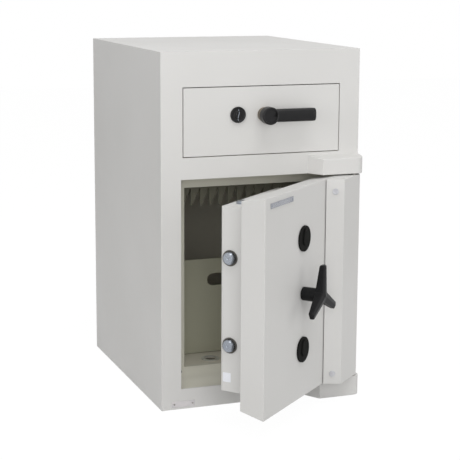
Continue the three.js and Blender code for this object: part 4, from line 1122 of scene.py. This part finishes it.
class SAFE_OT_stage(bpy.types.Operator):
    """Build the floor, the lamps, the surroundings and the camera"""

    bl_idname = "safe.stage"
    bl_label = "Studio"

    WHITE = (1, 1, 1, 1)
    TOWARDS = {  # from the middle of the safe to each lamp
        "upper": (0.0, -0.38, 0.92), "front": (-0.22, -0.95, 0.15),
        "left": (-0.80, -0.50, 0.25), "right": (0.75, -0.62, 0.20)}
    LAMP_AIM = (0, 0, 0.42)
    FLOOR_CELLS = 8
    FLOOR_BOUNCE = 0.55  # the floor's level in the light that it throws back on the safe
    GLOW, GLOW_SHARE = 1.02, 0.95  # the rest of the share lets the safe's shadow show
    EYE = (-1.1839, -3.2393, 1.0467)
    HEADING, TILT, ROLL = (math.radians(angle) for angle in (-20.56, 80.01, 0.28))
    SHIFT, CLIP = -0.06, (0.05, 60)

    def execute(self, context):
        stage = context.scene.drop_safe.stage
        self.add_floor(stage)
        self.add_world(stage)
        for name, towards in self.TOWARDS.items():
            self.add_lamp(f"{name.capitalize()} lamp", stage, getattr(stage, name), towards)
        self.add_camera(stage)
        context.scene.view_settings.view_transform = "Standard"
        return {"FINISHED"}

    def add_camera(self, stage):
        camera = bpy.data.cameras.new("Camera")
        camera.lens = stage.lens
        camera.sensor_width = 36
        camera.shift_y = self.SHIFT
        camera.clip_start, camera.clip_end = self.CLIP
        eye = in_scene("Camera", camera)
        eye.location = self.EYE
        look = Matrix.Rotation(self.HEADING, 3, "Z") @ Matrix.Rotation(self.TILT, 3, "X")
        eye.rotation_euler = (look @ Matrix.Rotation(self.ROLL, 3, "Z")).to_euler()
        bpy.context.scene.camera = eye

    def add_lamp(self, name, stage, power, towards):
        lamp = bpy.data.lights.new(name, "AREA")
        lamp.shape = "DISK"
        lamp.size = stage.lamp_size
        lamp.energy = power
        direction = Vector(towards).normalized()
        piece = in_scene(name, lamp)
        piece.location = Vector(self.LAMP_AIM) + direction * stage.lamp_reach
        piece.rotation_mode = "QUATERNION"
        piece.rotation_quaternion = direction.to_track_quat("Z", "Y")

    def add_floor(self, stage):
        """A matt floor that glows white to the eye and keeps a faint shadow."""
        bm = bmesh.new()
        bmesh.ops.create_grid(
            bm, x_segments=self.FLOOR_CELLS, y_segments=self.FLOOR_CELLS, size=stage.floor / 2)
        floor = loose_object("Studio floor", bm)
        material = bpy.data.materials.new("studio_floor")
        nodes = Nodes(emptied(material))
        seen = nodes.seen()
        shade = nodes.add("ShaderNodeMapRange", Value=seen, To_Min=self.FLOOR_BOUNCE, To_Max=1.0)
        matt = nodes.add("ShaderNodeBsdfDiffuse", Color=shade.outputs["Result"])
        glow = nodes.add("ShaderNodeEmission", Color=self.WHITE, Strength=self.GLOW)
        share = nodes.math("MULTIPLY", seen, self.GLOW_SHARE)
        nodes.add("ShaderNodeOutputMaterial", Surface=nodes.mixed(share, matt, glow))
        floor.data.materials.append(material)

    def add_world(self, stage):
        """Even light from all round, which the eye and gloss see as white."""
        world = bpy.data.worlds.new("Studio")
        nodes = Nodes(emptied(world))
        light = nodes.add("ShaderNodeBackground", Color=self.WHITE, Strength=stage.daylight)
        white = nodes.add("ShaderNodeBackground", Color=self.WHITE, Strength=1.0)
        nodes.add("ShaderNodeOutputWorld", Surface=nodes.mixed(nodes.seen(), light, white))
        bpy.context.scene.world = world


BUILDERS = (
    SAFE_OT_stage, SAFE_OT_shell, SAFE_OT_chamber, SAFE_OT_door, SAFE_OT_keyholes,
    SAFE_OT_star_handle, SAFE_OT_bolts, SAFE_OT_drawer, SAFE_OT_drawer_lever, SAFE_OT_drawer_lock,
)


class SAFE_PT_panel(bpy.types.Panel):
    """Lists the safe's builders and their settings"""

    bl_idname = "SAFE_PT_panel"
    bl_label = "Drop safe"
    bl_space_type = "VIEW_3D"
    bl_region_type = "UI"
    bl_category = "Drop Safe"

    def draw(self, context):
        layout = self.layout
        for builder in BUILDERS:
            layout.operator(builder.bl_idname)
        safe = context.scene.drop_safe
        for group in SafeSettings.__annotations__:
            box = layout.box()
            box.label(text=group.capitalize())
            values = getattr(safe, group)
            for name in values.__annotations__:
                box.prop(values, name)


CLASSES = (
    SafeColours, SafeEdges, SafeComb, SafeStar, SafeLever, SafeFasteners, SafeStage, SafeSettings,
    *BUILDERS, SAFE_PT_panel,
)


def register():
    for item in CLASSES:
        bpy.utils.register_class(item)
    bpy.types.Scene.drop_safe = PointerProperty(type=SafeSettings)


def unregister():
    del bpy.types.Scene.drop_safe
    for item in reversed(CLASSES):
        bpy.utils.unregister_class(item)


def main():
    register()
    bpy.ops.safe.stage()
    bpy.ops.safe.shell()
    bpy.ops.safe.chamber()
    bpy.ops.safe.door()
    bpy.ops.safe.keyholes()
    bpy.ops.safe.star_handle()
    bpy.ops.safe.bolts()
    bpy.ops.safe.drawer()
    bpy.ops.safe.drawer_lever()
    bpy.ops.safe.drawer_lock()


if __name__ == "__main__":
    main()
